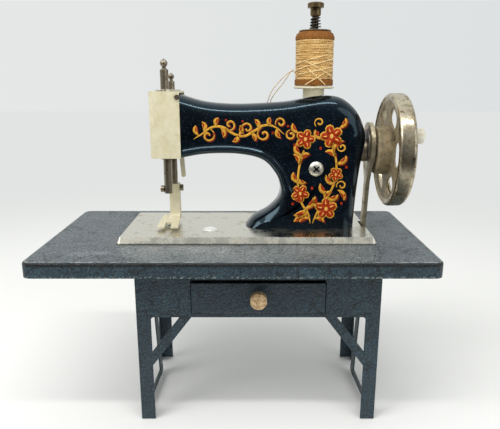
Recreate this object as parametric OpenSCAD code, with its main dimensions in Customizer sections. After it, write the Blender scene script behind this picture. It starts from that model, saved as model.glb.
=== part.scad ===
// Toy sewing machine on a small sheet-metal table with a drawer.
// Millimetres. +Z is up, the front faces -Y, and the origin is on the floor
// under the middle of the table top. The machine runs left to right along X.

/* [Table] */
// Width of the table top
table_w = 252; // [230:1:270]
// Depth of the table top
table_d = 131; // [122:1:145]
// Height of the table top above the floor
table_h = 121; // [112:1:135]
// Depth of the turned-down edge
table_skirt = 10; // [7:0.2:13]
// Sheet thickness of the table top
table_sheet = 1; // [0.8:0.1:1.3]
// Corner radius of the table top in plan
table_corner_r = 5.5; // [5:0.5:9]
// Rolled radius of the top edge
table_edge_r = 1.9; // [1.5:0.1:3]

/* [Leg frame] */
// Width of the leg frame over its end panels
frame_w = 159.2; // [158.4:0.2:164]
// Depth of the leg frame over its front and rear panels
frame_d = 84.4; // [80:0.2:92]
// Offset of the leg frame to the right of the table's middle
frame_x = 15.7; // [15.4:0.1:17]
// Lower edge of the apron below the table surface
apron_drop = 45.7; // [45:0.1:54]
// Sheet thickness of the legs and panels
frame_sheet = 1; // [0.8:0.1:1.2]
// Width of a leg seen from the front
leg_w = 9.4; // [8:0.2:12]
// Width of the flange that stiffens each leg
leg_flange = 7; // [5:0.5:9]
// Reach of a corner brace along the apron
brace_reach = 26.5; // [24:0.5:34]
// Drop of a corner brace down the leg
brace_drop = 35; // [30:0.5:42]
// Width of a corner brace
brace_w = 6.2; // [4:0.2:8]
// Width of the brace post under an end panel
end_post_w = 9; // [6:0.5:12]
// Distance of that post behind the middle of the table
end_post_y = 16; // [8:0.5:20]
// Inward lean of the post at its foot
end_lean = 3.6; // [1:0.2:6]
// Height of the foot rail from the post to the front leg
end_rail_h = 5; // [3:0.5:8]

/* [Drawer] */
// Width of the drawer front
drawer_w = 86.5; // [76:0.5:92]
// Height of the drawer front
drawer_h = 22.1; // [19:0.1:22.6]
// Top of the drawer front below the table surface
drawer_drop = 20.4; // [20:0.1:21]
// Depth of the drawer tray
drawer_depth = 74; // [60:1:78]
// Sheet thickness of the drawer
drawer_sheet = 0.8; // [0.6:0.1:1]
// Gap round the drawer front
drawer_fit = 0.5; // [0.4:0.05:0.8]
// Further gap above the drawer front, where it has sagged
drawer_sag = 1.5; // [1:0.1:2]
// Diameter of the turned drawer knob
knob_d = 10.6; // [9:0.2:14]
// Length of the drawer knob
knob_l = 11.5; // [9:0.5:14]

/* [Base plate] */
// Length of the base plate
plate_l = 172; // [169:0.5:174]
// Width of the base plate
plate_w = 73; // [66:0.5:80]
// Offset of the base plate to the right of the table's middle
plate_x = 8; // [7.5:0.1:8.5]
// Height of the base plate above the table
plate_h = 4.5; // [4:0.1:6]
// Inset of the plate's bevelled edge
plate_bevel = 2.5; // [1.5:0.1:2.6]
// Sheet thickness of the base plate
plate_sheet = 0.9; // [0.7:0.1:1.1]
// Diameter of the button rivet in the plate
rivet_d = 10; // [7:0.5:12]

/* [Head] */
// Depth position of the seam between the two casing halves
seam_y = 6.5; // [4:0.1:8]
// Left end of the arm
head_x = -38; // [-39:0.1:-37]
// Length of the head from the arm's end to the shoulder
head_l = 127; // [126:0.1:128]
// Height of the head above the base plate
head_h = 91.5; // [90:0.1:94]
// Half the depth of the casing
head_half = 13.5; // [13:0.1:14.5]
// Wall of the pressed casing
casing_wall = 1; // [0.8:0.1:1.1]
// Rounding of the casing's outer edge
casing_edge_r = 9.5; // [8.5:0.1:10]
// Rounding of the rolled bead along the arch
bead_r = 4.5; // [3.5:0.1:5.5]
// Width of the groove beside the bead
groove_w = 2.4; // [1.6:0.1:3]
// Depth of the groove beside the bead
groove_depth = 0.9; // [0.5:0.1:1.2]
// Height of the column screw above the table
pivot_h = 46.5; // [44:0.1:47]
// Left end of the face cover
cover_x = -56.5; // [-58:0.1:-56]
// Lower edge of the face cover above the table
cover_low = 53.5; // [53:0.1:54]
// Sheet thickness of the face cover
cover_sheet = 1; // [0.8:0.1:1.1]

/* [Drive] */
// Height of the main shaft above the table
axis_h = 57.5; // [57:0.1:59]
// Diameter of the main shaft
shaft_d = 6; // [5:0.1:6.4]
// Diameter of the bearing bush in the casing
bush_d = 15.6; // [14:0.1:16]
// Throw of the eccentric
throw = 3.5; // [2.5:0.1:3.8]
// Diameter of the eccentric
eccentric_d = 20.4; // [19:0.1:21]
// Outer diameter of the rod's strap
strap_d = 31.4; // [30:0.1:32.4]
// Width of the rod where it leaves the strap
rod_w_top = 7.6; // [6.4:0.1:8]
// Width of the rod at its lower end
rod_w_low = 6; // [5:0.1:6.4]
// Sideways set of the rod's lower end towards the column
rod_set = 1.8; // [0.5:0.1:2.4]
// Throw of the needle crank
crank_throw = 2.2; // [1.6:0.1:2.4]

/* [Handwheel] */
// Radius of the handwheel
wheel_r = 38.6; // [34:0.2:42]
// Distance of the rim's left edge from the bearing bush
rim_gap = 13.8; // [13.2:0.1:14.4]
// Width of the wheel rim
rim_w = 11.4; // [10:0.1:12.4]
// Sheet thickness of the wheel
wheel_sheet = 1.4; // [1:0.1:1.6]
// Recess of the web behind the rim's left edge
web_set = 0.9; // [0.8:0.1:1.6]
// Diameter of the drum drawn into the middle of the wheel
drum_d = 33; // [29:0.2:34]
// Radius of the circle of holes in the web
hole_ring_r = 26; // [24:0.2:27]
// Length of a hole along its circle
hole_l = 17; // [13:0.2:18]
// Width of a hole across its circle
hole_w = 11.5; // [8:0.2:12]
// Radius at which the crank knob sits
crank_r = 21.7; // [20:0.1:24]
// Angle of the crank knob from the rear, rising to the front
crank_angle = 148; // [140:1:156]
// Diameter of the crank knob
crank_d = 10.4; // [8:0.2:12]

/* [Bars] */
// Distance of the needle bar from the left end of the arm
needle_out = 8.7; // [8.5:0.1:9.2]
// Distance of the needle bar in front of the seam
needle_fore = 4; // [3.9:0.1:4.2]
// Diameter of the needle bar
needle_d = 5.5; // [4.8:0.1:5.6]
// Lower end of the needle bar above the table
needle_low = 28; // [26:0.2:30]
// Top of the needle bar's finial above the table
needle_top = 118.6; // [114:0.2:122]
// Distance of the presser bar from the left end of the arm
presser_out = 5.6; // [5.5:0.1:6]
// Distance of the presser bar behind the seam
presser_aft = 6; // [5.9:0.1:6.4]
// Diameter of the presser bar
presser_d = 4.5; // [4:0.1:4.6]
// Top of the presser bar's finial above the table
presser_top = 109.7; // [107:0.2:112]
// Lift of the presser foot
presser_lift = 4.4; // [3:0.1:4.6]
// Turn of the lifter lever that gives that lift, in degrees
lifter_turn = 80; // [60:1:85]
// Length of the presser foot's sole
sole_l = 27; // [22:0.5:28]
// Width of the presser foot's sole
sole_w = 14.5; // [12:0.5:16]

/* [Spool] */
// Distance of the spool pin from the head's shoulder
spool_in = 35.8; // [34:0.1:37]
// Diameter of the spool
spool_d = 25.7; // [22:0.1:28]
// Height of the spool
spool_h = 34.4; // [28:0.2:40]
// Underside of the spool above the table
spool_low = 100.9; // [100.4:0.1:103]
// Diameter of the spool pin
spool_pin_d = 4.2; // [3.6:0.1:4.6]
// Turns in the outer layer of thread
thread_turns = 18; // [12:1:18]
// Diameter of a turn of thread as drawn
thread_d = 0.85; // [0.6:0.05:0.85]
// Curls in the tension spring
spring_curls = 4; // [3:1:5]
// Height of the tension spring
spring_h = 8.2; // [7:0.1:10]
// Wire of the tension spring
spring_wire = 0.7; // [0.5:0.05:0.8]

/* [Hidden] */
$fn = 48;

// Overrun of a cut, running clearance, slack clearance, fixed fit and face gap of pieces that move past each other
over = 2;
run_fit = 0.05;
slack = 0.35;
fixed_fit = 0.02;
gap = 0.3;

// Heights that the pieces share
deck = table_h;
plate_top = deck + plate_h;
axis_z = deck + axis_h;
apron_z = deck - apron_drop;
roof_z = deck - table_sheet;

// Places along the main shaft: end of the bush, the eccentric's flange and the rod
bush_proud = 1.2;
bush_end = head_x + head_l + bush_proud;
flange_t = 0.5;
flange_x = bush_end + gap;
rod_x0 = flange_x + flange_t + gap;

// Front and rear faces and the two ends of the leg frame
front_y = -frame_d / 2;
left_x = frame_x - frame_w / 2;
right_x = frame_x + frame_w / 2;
inner_l = left_x + leg_w;
inner_r = right_x - leg_w;

// Inside rounding where a leg meets the apron, and the lift of the foot rails off the floor
leg_fillet = 2;
rail_lift = 0.5;

// Colours
table_colour = "#36434a";
enamel = "#10151f";
cream = "#e4dcc2";
nickel = "#b9b3a4";
steel = "#8d8a82";
dark_steel = "#45423c";
wood = "#b5793f";
light_wood = "#c3a577";
thread_colour = "#c39a55";
ivory = "#e9e1c9";

// Extrude a plan drawn in X and Z along Y, from y to y + t
module xz(y, t) translate([0, y + t, 0]) rotate([90, 0, 0]) linear_extrude(t) children();

// Extrude a plan drawn in Y and Z along X, from x to x + t
module yz(x, t) translate([x, 0, 0]) rotate([90, 0, 90]) linear_extrude(t) children();

// A rod along X, along Y or along Z from its low end
module rod_x(x, y, z, d, l) translate([x, y, z]) rotate([0, 90, 0]) cylinder(d = d, h = l);
module rod_y(x, y, z, d, l) translate([x, y, z]) rotate([-90, 0, 0]) cylinder(d = d, h = l);
module rod_z(x, y, z, d, l) translate([x, y, z]) cylinder(d = d, h = l);

// Turn a shape drawn about Z so that it lies on the main shaft, with its Z as the machine's X
module on_shaft() translate([0, seam_y, axis_z]) rotate([0, 90, 0]) children();

// A straight bar between two points of a plan, with round ends
module bar(a, b, w) {
    translate(a) rotate(atan2(b.y - a.y, b.x - a.x)) translate([0, -w / 2]) square([norm(b - a), w]);
    translate(a) circle(d = w);
    translate(b) circle(d = w);
}

// A closed tube of a given radius along a list of points
function unit(v) = v / norm(v);
function tangents(path) = [for (i = [0:len(path) - 1])
    unit(path[min(i + 1, len(path) - 1)] - path[max(i - 1, 0)])];
function carried(v, t) = unit(v - t * (v * t));
function side_dirs(ts, start) = [for (i = 0, v = carried(start, ts[0]); i < len(ts);
    i = i + 1, v = i < len(ts) ? carried(v, ts[i]) : v) v];
module tube(path, r, sides, start) {
    ts = tangents(path);
    vs = side_dirs(ts, start);
    points = [for (i = [0:len(path) - 1]) for (k = [0:sides - 1])
        let (a = 360 * k / sides) path[i] + r * (vs[i] * cos(a) + cross(ts[i], vs[i]) * sin(a))];
    last = (len(path) - 1) * sides;
    skin = [for (i = [0:len(path) - 2]) for (k = [0:sides - 1])
        let (a = i * sides + k, b = i * sides + (k + 1) % sides)
        each [[a, a + sides, b], [b, a + sides, b + sides]]];
    caps = [for (k = [1:sides - 2]) each [[0, k, k + 1], [last, last + k + 1, last + k]]];
    polyhedron(points, concat(skin, caps));
}

// A helix about Z with a short straight end at each side, square to the faces that it meets
function helix(r_low, r_high, z_low, z_high, turns, rings, stub) = concat(
    [[r_low, 0, z_low]],
    [for (i = [0:turns * rings]) let (s = i / (turns * rings), r = r_low + (r_high - r_low) * s)
        [r * cos(360 * turns * s), r * sin(360 * turns * s), z_low + stub + (z_high - z_low - 2 * stub) * s]],
    [[r_high * cos(360 * turns), r_high * sin(360 * turns), z_high]]);
function least_gap(path, rings, d) = min([for (i = [1:len(path) - rings - 2])
    for (j = [i + floor(rings / 2):min(i + rings + 2, len(path) - 2)]) norm(path[i] - path[j])]) - d;

// A smooth curve through a few points
function blend(a, b, c, d, t) = (2 * b + (c - a) * t + (2 * a - 5 * b + 4 * c - d) * t * t
    + (3 * b - a - 3 * c + d) * t * t * t) / 2;
function curve(p, n) = concat([for (i = [0:len(p) - 2]) for (j = [0:n - 1])
    blend(p[max(i - 1, 0)], p[i], p[i + 1], p[min(i + 2, len(p) - 1)], j / n)], [p[len(p) - 1]]);

// Table top: a shallow pan of sheet, turned down all round with a rolled upper edge
module pan(w, d, h, corner, edge) {
    hull() for (sx = [-1, 1]) for (sy = [-1, 1])
        translate([sx * (w / 2 - corner), sy * (d / 2 - corner), 0]) rotate_extrude($fn = 32) {
            square([corner - edge, h]);
            square([corner, h - edge]);
            translate([corner - edge, h - edge]) intersection() {
                circle(r = edge, $fn = 32);
                square(edge);
            }
        }
}

// Window under the machine for its lever, and the slot for the connecting rod
window_l = 134;
window_w = 34;
window_x = 3;
rod_t = 2.6;
slot_slack = 0.6;
slot_x0 = rod_x0 - rod_set - slot_slack;
slot_x1 = rod_x0 + rod_t + slot_slack;
slot_w = rod_w_top + 2 * (throw + slot_slack);

module table_top() color(table_colour) difference() {
    translate([0, 0, deck - table_skirt]) pan(table_w, table_d, table_skirt, table_corner_r, table_edge_r);
    translate([0, 0, deck - table_skirt - over])
        pan(table_w - 2 * table_sheet, table_d - 2 * table_sheet, table_skirt + over - table_sheet,
            table_corner_r - table_sheet, table_edge_r - table_sheet);
    translate([window_x - window_l / 2, seam_y - window_w / 2, roof_z - over])
        cube([window_l, window_w, table_sheet + 2 * over]);
    translate([slot_x0, seam_y - slot_w / 2, roof_z - over])
        cube([slot_x1 - slot_x0, slot_w, table_sheet + 2 * over]);
    rod_z(rivet_x, rivet_y, roof_z - over, rivet_shank_d + 2 * run_fit, table_sheet + 2 * over);
}

// Leg panel seen from the front: apron, two legs and a brace in each corner
brace_alt = brace_reach * brace_drop / norm([brace_reach, brace_drop]);
brace_in_share = 1 - brace_w / brace_alt;
module corner_brace() {
    difference() {
        polygon([[0, 0], [brace_reach, 0], [0, -brace_drop]]);
        polygon([[0, 0], [brace_reach, 0], [0, -brace_drop]] * brace_in_share);
    }
}
module inside_round() translate([-run_fit, -leg_fillet]) difference() {
    square([leg_fillet + run_fit, leg_fillet + run_fit]);
    translate([leg_fillet + run_fit, 0]) circle(r = leg_fillet);
}
module leg_outline() {
    translate([left_x, apron_z]) square([frame_w, roof_z - apron_z]);
    translate([inner_l, apron_z]) inside_round();
    translate([inner_r, apron_z]) mirror([1, 0]) inside_round();
    translate([left_x, 0]) square([leg_w, apron_z]);
    translate([inner_r, 0]) square([leg_w, apron_z]);
    translate([inner_l, apron_z]) corner_brace();
    translate([inner_r, apron_z]) mirror([1, 0]) corner_brace();
}
module leg_flanges(y) {
    for (x = [left_x, right_x - frame_sheet]) translate([x, y, 0]) cube([frame_sheet, leg_flange, roof_z]);
}

drawer_x = frame_x;
window_low = deck - drawer_drop - drawer_h;
module front_leg_panel() color(table_colour) {
    xz(front_y, frame_sheet) difference() {
        leg_outline();
        translate([drawer_x - drawer_w / 2 - drawer_fit, window_low - drawer_fit])
            square([drawer_w + 2 * drawer_fit, drawer_h + 2 * drawer_fit]);
    }
    leg_flanges(front_y);
}
module rear_leg_panel() color(table_colour) {
    xz(-front_y - frame_sheet, frame_sheet) leg_outline();
    leg_flanges(-front_y - leg_flange);
}

// End panel: an apron sheet between the leg flanges, lapped behind them, and a leaning post with its foot rail
lap_w = 5;
post_t = frame_sheet;
module end_panel(x, inward) {
    out = inward > 0 ? x : x - frame_sheet;
    lap = out + inward * frame_sheet;
    y0 = front_y + leg_flange;
    translate([out, y0, apron_z]) cube([frame_sheet, -2 * y0, roof_z - apron_z]);
    for (y = [y0 - lap_w, -y0 - lap_w]) translate([lap, y, apron_z]) cube([frame_sheet, 2 * lap_w, roof_z - apron_z]);
    foot = out + inward * end_lean;
    hull() {
        translate([out, end_post_y - end_post_w / 2, apron_z]) cube([post_t, end_post_w, post_t]);
        translate([foot, end_post_y - end_post_w / 2, rail_lift]) cube([post_t, end_post_w, post_t]);
    }
    hull() {
        translate([foot, end_post_y, rail_lift]) cube([post_t, end_post_w / 2, end_rail_h]);
        translate([lap, y0 - lap_w, rail_lift]) cube([post_t, post_t, end_rail_h]);
    }
}
module left_end_panel() color(table_colour) end_panel(left_x, 1);
module right_end_panel() color(table_colour) end_panel(right_x, -1);

// Drawer runners: two angles between the leg panels that carry the tray
tray_w = drawer_w - 2 * drawer_fit;
tray_low = window_low + drawer_fit;
tray_h = drawer_h - 2 * drawer_fit - gap - drawer_sag;
runner_shelf = 8;
runner_side = tray_h + drawer_sag;
module drawer_runners() color(table_colour) for (s = [-1, 1]) {
    edge = drawer_x + s * (tray_w / 2 + gap + frame_sheet);
    translate([s > 0 ? edge - runner_shelf : edge, front_y + frame_sheet, tray_low - gap - frame_sheet])
        cube([runner_shelf, frame_d - 2 * frame_sheet, frame_sheet]);
    translate([s > 0 ? edge - frame_sheet : edge, front_y + frame_sheet, tray_low - gap - frame_sheet])
        cube([frame_sheet, frame_d - 2 * frame_sheet, runner_side]);
}

// Drawer: folded tray, flat front and a turned wooden knob held by a screw from inside
front_t = 1.2;
front_proud = 0.5;
front_face = front_y - front_proud;
tray_y = front_face + front_t;
knob_z = deck - drawer_drop - drawer_h * 0.455;
knob_screw_d = 3;
knob_head_d = 6;
knob_head_h = 1.8;
module drawer_tray() color(table_colour) difference() {
    translate([drawer_x - tray_w / 2, tray_y, tray_low]) cube([tray_w, drawer_depth, tray_h]);
    translate([drawer_x - tray_w / 2 + drawer_sheet, tray_y + drawer_sheet, tray_low + drawer_sheet])
        cube([tray_w - 2 * drawer_sheet, drawer_depth - 2 * drawer_sheet, tray_h]);
    rod_y(drawer_x, tray_y - over, knob_z, knob_screw_d + 2 * run_fit, drawer_sheet + 2 * over);
}
module drawer_front() color(table_colour) difference() {
    xz(front_face, front_t) translate([drawer_x - drawer_w / 2, window_low]) square([drawer_w, drawer_h - drawer_sag]);
    rod_y(drawer_x, front_face - over, knob_z, knob_screw_d + 2 * run_fit, front_t + 2 * over);
}
knob_neck_d = knob_d * 0.62;
knob_neck_l = knob_l * 0.42;
knob_dome_r = knob_d * 0.9;
knob_screw_l = knob_l * 0.6;
module drawer_knob() color(light_wood) translate([drawer_x, front_face, knob_z]) rotate([90, 0, 0]) difference() {
    rotate_extrude() {
        square([knob_neck_d / 2, knob_l - knob_neck_l]);
        translate([0, knob_neck_l]) intersection() {
            square([knob_d / 2, knob_l - knob_neck_l]);
            translate([0, knob_l - knob_neck_l - knob_dome_r]) circle(r = knob_dome_r);
        }
    }
    translate([0, 0, -over]) cylinder(d = knob_screw_d + 2 * fixed_fit, h = knob_screw_l + over);
}
module drawer_knob_screw() color(steel) {
    rod_y(drawer_x, front_face - knob_screw_l + gap, knob_z, knob_screw_d,
          knob_screw_l - gap + front_t + drawer_sheet + knob_head_h / 2);
    rod_y(drawer_x, tray_y + drawer_sheet, knob_z, knob_head_d, knob_head_h);
}

// Base plate: pressed steel with a bevelled edge, notched for the rod and pierced for the needle
plate_corner_r = plate_bevel + 0.7 * plate_sheet;
needle_x = head_x - needle_out;
needle_y = seam_y - needle_fore;
needle_hole_d = 3.2;
rivet_x = -17.4;
rivet_y = -8;
rivet_shank_d = 4;
rivet_h = 1.6;
module plate_form(l, w, h, r) {
    hull() for (sx = [-1, 1]) for (sy = [-1, 1])
        translate([sx * (l / 2 - r), sy * (w / 2 - r), 0]) cylinder(r1 = r, r2 = r - plate_bevel, h = h, $fn = 32);
}
module base_plate() color(nickel) difference() {
    translate([plate_x, seam_y, deck]) plate_form(plate_l, plate_w, plate_h, plate_corner_r);
    translate([plate_x, seam_y, deck - plate_sheet])
        plate_form(plate_l - 2 * plate_sheet, plate_w - 2 * plate_sheet, plate_h, plate_corner_r);
    translate([slot_x0, seam_y - slot_w / 2, deck - over]) cube([plate_l, slot_w, plate_h + 2 * over]);
    rod_z(needle_x, needle_y, deck, needle_hole_d, plate_h + over);
    rod_z(rivet_x, rivet_y, deck, rivet_shank_d + 2 * run_fit, plate_h + over);
    for (x = bracket_screw_xs) rod_z(x, bracket_screw_y, deck, bracket_screw_d + 2 * run_fit, plate_h + over);
}
rivet_dome_r = (rivet_d * rivet_d / 4 + rivet_h * rivet_h) / (2 * rivet_h);
module plate_rivet() color(nickel) {
    translate([rivet_x, rivet_y, plate_top]) rotate_extrude() intersection() {
        square([rivet_d / 2, rivet_h]);
        translate([0, rivet_h - rivet_dome_r]) circle(r = rivet_dome_r, $fn = 96);
    }
    rod_z(rivet_x, rivet_y, roof_z, rivet_shank_d, plate_h + table_sheet + rivet_h / 2);
    rod_z(rivet_x, rivet_y, roof_z - rivet_h, rivet_shank_d * 1.6, rivet_h);
}

// Head casing: outer edge and arch edge as shares of the head's length and height,
// station by station from the arm's left end down to the base plate
outer_shares = [[0, 1], [0.13, 0.945], [0.28, 0.925], [0.43, 0.929], [0.57, 0.942], [0.68, 0.967], [0.79, 0.985],
    [0.87, 0.962], [0.945, 0.875], [0.987, 0.76], [1, 0.66], [0.977, 0.45], [0.962, 0.22], [0.954, 0]];
arch_shares = [[0, 0.53], [0.13, 0.562], [0.27, 0.568], [0.37, 0.554], [0.435, 0.529], [0.475, 0.493], [0.505, 0.445],
    [0.53, 0.39], [0.546, 0.32], [0.548, 0.262], [0.527, 0.197], [0.47, 0.125], [0.4, 0.072], [0.357, 0]];
bead_shares = [1, 1, 1, 1, 1, 1, 1, 1, 0.9, 0.5, 0.1, 0, 0, 0];
station_steps = 4;
round_steps = 4;
function in_head(s) = [head_x + s.x * head_l, plate_top + s.y * head_h];
outer_edge = [for (s = curve(outer_shares, station_steps)) in_head(s)];
arch_edge = [for (s = curve(arch_shares, station_steps)) in_head(s)];
bead_part = curve(bead_shares, station_steps);
outer_dirs = [for (t = tangents(outer_edge)) [t.y, -t.x]];
arch_dirs = [for (t = tangents(arch_edge)) [-t.y, t.x]];
// Moving in from an edge never crosses the arm's end or the base plate
end_share = 0.5;
function clamped(v, lim) = max(-lim, min(lim, v));
function moved(p, dir, o) = [p.x + clamped(dir.x * o, (p.x - head_x) * end_share),
    p.y + clamped(dir.y * o, (p.y - plate_top) * end_share)];
// Offset and depth of one rounded edge, from the seam to the face, at a wall's outside or inside
function edge_profile(r, wall) = concat([[wall, 0]], [for (k = [0:round_steps]) let (a = 90 * k / round_steps)
    [wall + (r - wall) * (1 - cos(a)), head_half - r + (r - wall) * sin(a)]]);
function groove_profile(r, wall, part) = [[r + groove_w / 2, head_half - wall - groove_depth * part],
    [r + groove_w, head_half - wall]];
function reversed(v) = [for (i = [len(v) - 1:-1:0]) v[i]];
function arch_r(i) = casing_edge_r + (bead_r - casing_edge_r) * bead_part[i];
function at_edge(p, dir, profile) = [for (e = profile) let (q = moved(p, dir, e[0])) [q.x, seam_y - e[1], q.y]];
function arch_profile(i, wall) = concat(edge_profile(arch_r(i), wall), groove_profile(arch_r(i), wall, bead_part[i]));
function section(i) = concat(
    at_edge(outer_edge[i], outer_dirs[i], edge_profile(casing_edge_r, 0)),
    reversed(at_edge(arch_edge[i], arch_dirs[i], arch_profile(i, 0))),
    at_edge(arch_edge[i], arch_dirs[i], arch_profile(i, casing_wall)),
    reversed(at_edge(outer_edge[i], outer_dirs[i], edge_profile(casing_edge_r, casing_wall))));
module half_casing() {
    rows = [for (i = [0:len(outer_edge) - 1]) section(i)];
    n = len(rows[0]);
    last = (len(rows) - 1) * n;
    skin = [for (i = [0:len(rows) - 2]) for (k = [0:n - 1])
        let (a = i * n + k, b = i * n + (k + 1) % n) each [[a, a + n, b], [b, a + n, b + n]]];
    // The two open ends are closed strip by strip between the outside and the inside of the wall
    half = n / 2;
    ends = [for (k = [0:half - 2]) each [
        [k, k + 1, n - 1 - k], [k + 1, n - 2 - k, n - 1 - k],
        [last + k, last + n - 1 - k, last + k + 1], [last + k + 1, last + n - 1 - k, last + n - 2 - k]]];
    polyhedron([for (r = rows) each r], concat(skin, ends));
}
pivot_x = head_x + head_l * 0.732;
pivot_z = deck + pivot_h;
bush_seat = 6;
bush_l = bush_seat + bush_proud;
screw_d = 4;
screw_hole_d = screw_d + 4 * run_fit;
spool_x = head_x + head_l - spool_in;
spool_hole_d = spool_pin_d + 4 * run_fit;
module casing_cuts() {
    rod_y(pivot_x, seam_y - head_half - over, pivot_z, screw_hole_d, 2 * (head_half + over));
    rod_x(head_x + head_l - bush_l, seam_y, axis_z, bush_d + 2 * run_fit, bush_l + over);
    rod_z(spool_x, seam_y, plate_top + head_h / 2, spool_hole_d, head_h);
}
module body_front_shell() color(enamel) difference() {
    half_casing();
    casing_cuts();
}
module body_rear_shell() color(enamel) difference() {
    translate([0, 2 * seam_y, 0]) mirror([0, 1, 0]) half_casing();
    casing_cuts();
}

// Column screw through both halves, its nut, and the sleeve between them that the needle lever rocks on
screw_head_d = 10;
screw_head_h = 2.6;
screw_dome_r = 7.2;
recess_l = 5.4;
recess_w = 1.1;
recess_depth = 1.4;
nut_h = 3.2;
nut_flats = 7;
sleeve_d = 7;
bracket_t = 1.2;
leg_face = seam_y + head_half - casing_wall - slack - bracket_t;
module body_screw() color(nickel) translate([pivot_x, seam_y - head_half, pivot_z]) rotate([90, 0, 0]) difference() {
    union() {
        rotate_extrude() intersection() {
            square([screw_head_d / 2, screw_head_h]);
            translate([0, screw_head_h - screw_dome_r]) circle(r = screw_dome_r, $fn = 96);
        }
        translate([0, 0, -2 * head_half - nut_h]) cylinder(d = screw_d, h = 2 * head_half + nut_h + screw_head_h / 2);
    }
    for (a = [45, 135]) rotate(a) translate([-recess_l / 2, -recess_w / 2, screw_head_h - recess_depth])
        cube([recess_l, recess_w, recess_depth + over]);
}
module hex_nut(flats, h, bore) difference() {
    cylinder(d = flats / cos(30), h = h, $fn = 6);
    translate([0, 0, -over]) cylinder(d = bore, h = h + 2 * over);
}
module body_nut() color(nickel) translate([pivot_x, seam_y + head_half, pivot_z]) rotate([-90, 0, 0])
    hex_nut(nut_flats, nut_h, screw_d + 2 * fixed_fit);
module pivot_sleeve() color(steel) difference() {
    rod_y(pivot_x, seam_y - head_half + casing_wall, pivot_z, sleeve_d,
          leg_face - (seam_y - head_half + casing_wall));
    rod_y(pivot_x, seam_y - head_half - over, pivot_z, screw_d + 2 * run_fit, 2 * (head_half + over));
}

// Column bracket inside the casing: a foot on the plate and a leg up to the column screw
bracket_w = 14;
bracket_foot = 14;
bracket_screw_d = 3;
bracket_screw_xs = [pivot_x - bracket_w * 0.29, pivot_x + bracket_w * 0.29];
bracket_screw_y = seam_y + bracket_foot * 0.32;
bracket_head_d = 5.6;
bracket_head_h = 1.8;
bracket_nut_flats = 5.5;
bracket_nut_h = 2.2;
hanger_top = plate_top - plate_sheet;
module column_bracket() color(steel) difference() {
    union() {
        translate([pivot_x - bracket_w / 2, leg_face, plate_top])
            cube([bracket_w, bracket_t, pivot_z + bracket_w / 2 - plate_top]);
        translate([pivot_x - bracket_w / 2, leg_face - bracket_foot, plate_top])
            cube([bracket_w, bracket_foot + bracket_t, bracket_t]);
    }
    rod_y(pivot_x, leg_face - over, pivot_z, screw_hole_d, bracket_t + 2 * over);
    for (x = bracket_screw_xs) rod_z(x, bracket_screw_y, plate_top - over, bracket_screw_d + 2 * run_fit, bracket_t + 2 * over);
}
module bracket_screws() color(nickel) for (x = bracket_screw_xs) {
    low = hanger_top - hanger_t - bracket_nut_h;
    rod_z(x, bracket_screw_y, low, bracket_screw_d, plate_top + bracket_t - low + bracket_head_h / 2);
    rod_z(x, bracket_screw_y, plate_top + bracket_t, bracket_head_d, bracket_head_h);
}
module bracket_nuts() color(nickel) for (x = bracket_screw_xs)
    translate([x, bracket_screw_y, hanger_top - hanger_t - bracket_nut_h])
        hex_nut(bracket_nut_flats, bracket_nut_h, bracket_screw_d + 2 * fixed_fit);

// Bar bracket in the arm's end: a web against the casing and two flanges that guide both bars
presser_x = head_x - presser_out;
presser_y = seam_y + presser_aft;
cover_fit = 0.1;
cover_half = head_half + cover_fit + cover_sheet;
cover_top = plate_top + head_h + cover_sheet + gap;
cover_base = deck + cover_low;
web_t = 1;
guide_t = 1.4;
guide_l = 15;
web_front = 11;
web_back = 6.3;
web_low = seam_y - web_front;
web_high = seam_y + web_back;
guide_back = presser_y + presser_d / 2 + web_t;
bush_drop = 1.5;
guide_bush_d = 9;
lever_t = 2;
lever_shift = 0.75;
lever_y = seam_y - lever_t / 2 + lever_shift;
arm_mid_rise = 22;
arm_mid_z = deck + cover_low + arm_mid_rise;
lever_h = 5;
lever_end_h = 8;
lever_window_h = 27;
lever_window_w = lever_t + 4 * gap;
module bar_bracket() color(dark_steel) difference() {
    union() {
        translate([head_x - web_t, web_low, cover_base + web_t])
            cube([web_t, web_high - web_low, cover_top - cover_sheet - gap - cover_base - web_t]);
        for (z = [cover_base, cover_top - cover_sheet - gap - guide_t])
            translate([head_x - guide_l, web_low, z]) cube([guide_l, guide_back - web_low, guide_t]);
        rod_z(needle_x, needle_y, cover_base - bush_drop, guide_bush_d, bush_drop + guide_t);
    }
    rod_z(needle_x, needle_y, cover_base - over - bush_drop, needle_d + 2 * run_fit, cover_top - cover_base + 2 * over);
    rod_z(presser_x, presser_y, cover_base - over, presser_d + 2 * run_fit, cover_top - cover_base + 2 * over);
    translate([head_x - web_t - over, lever_y + lever_t / 2 - lever_window_w / 2, arm_mid_z - lever_window_h / 2])
        cube([web_t + 2 * over, lever_window_w, lever_window_h]);
}

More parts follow.
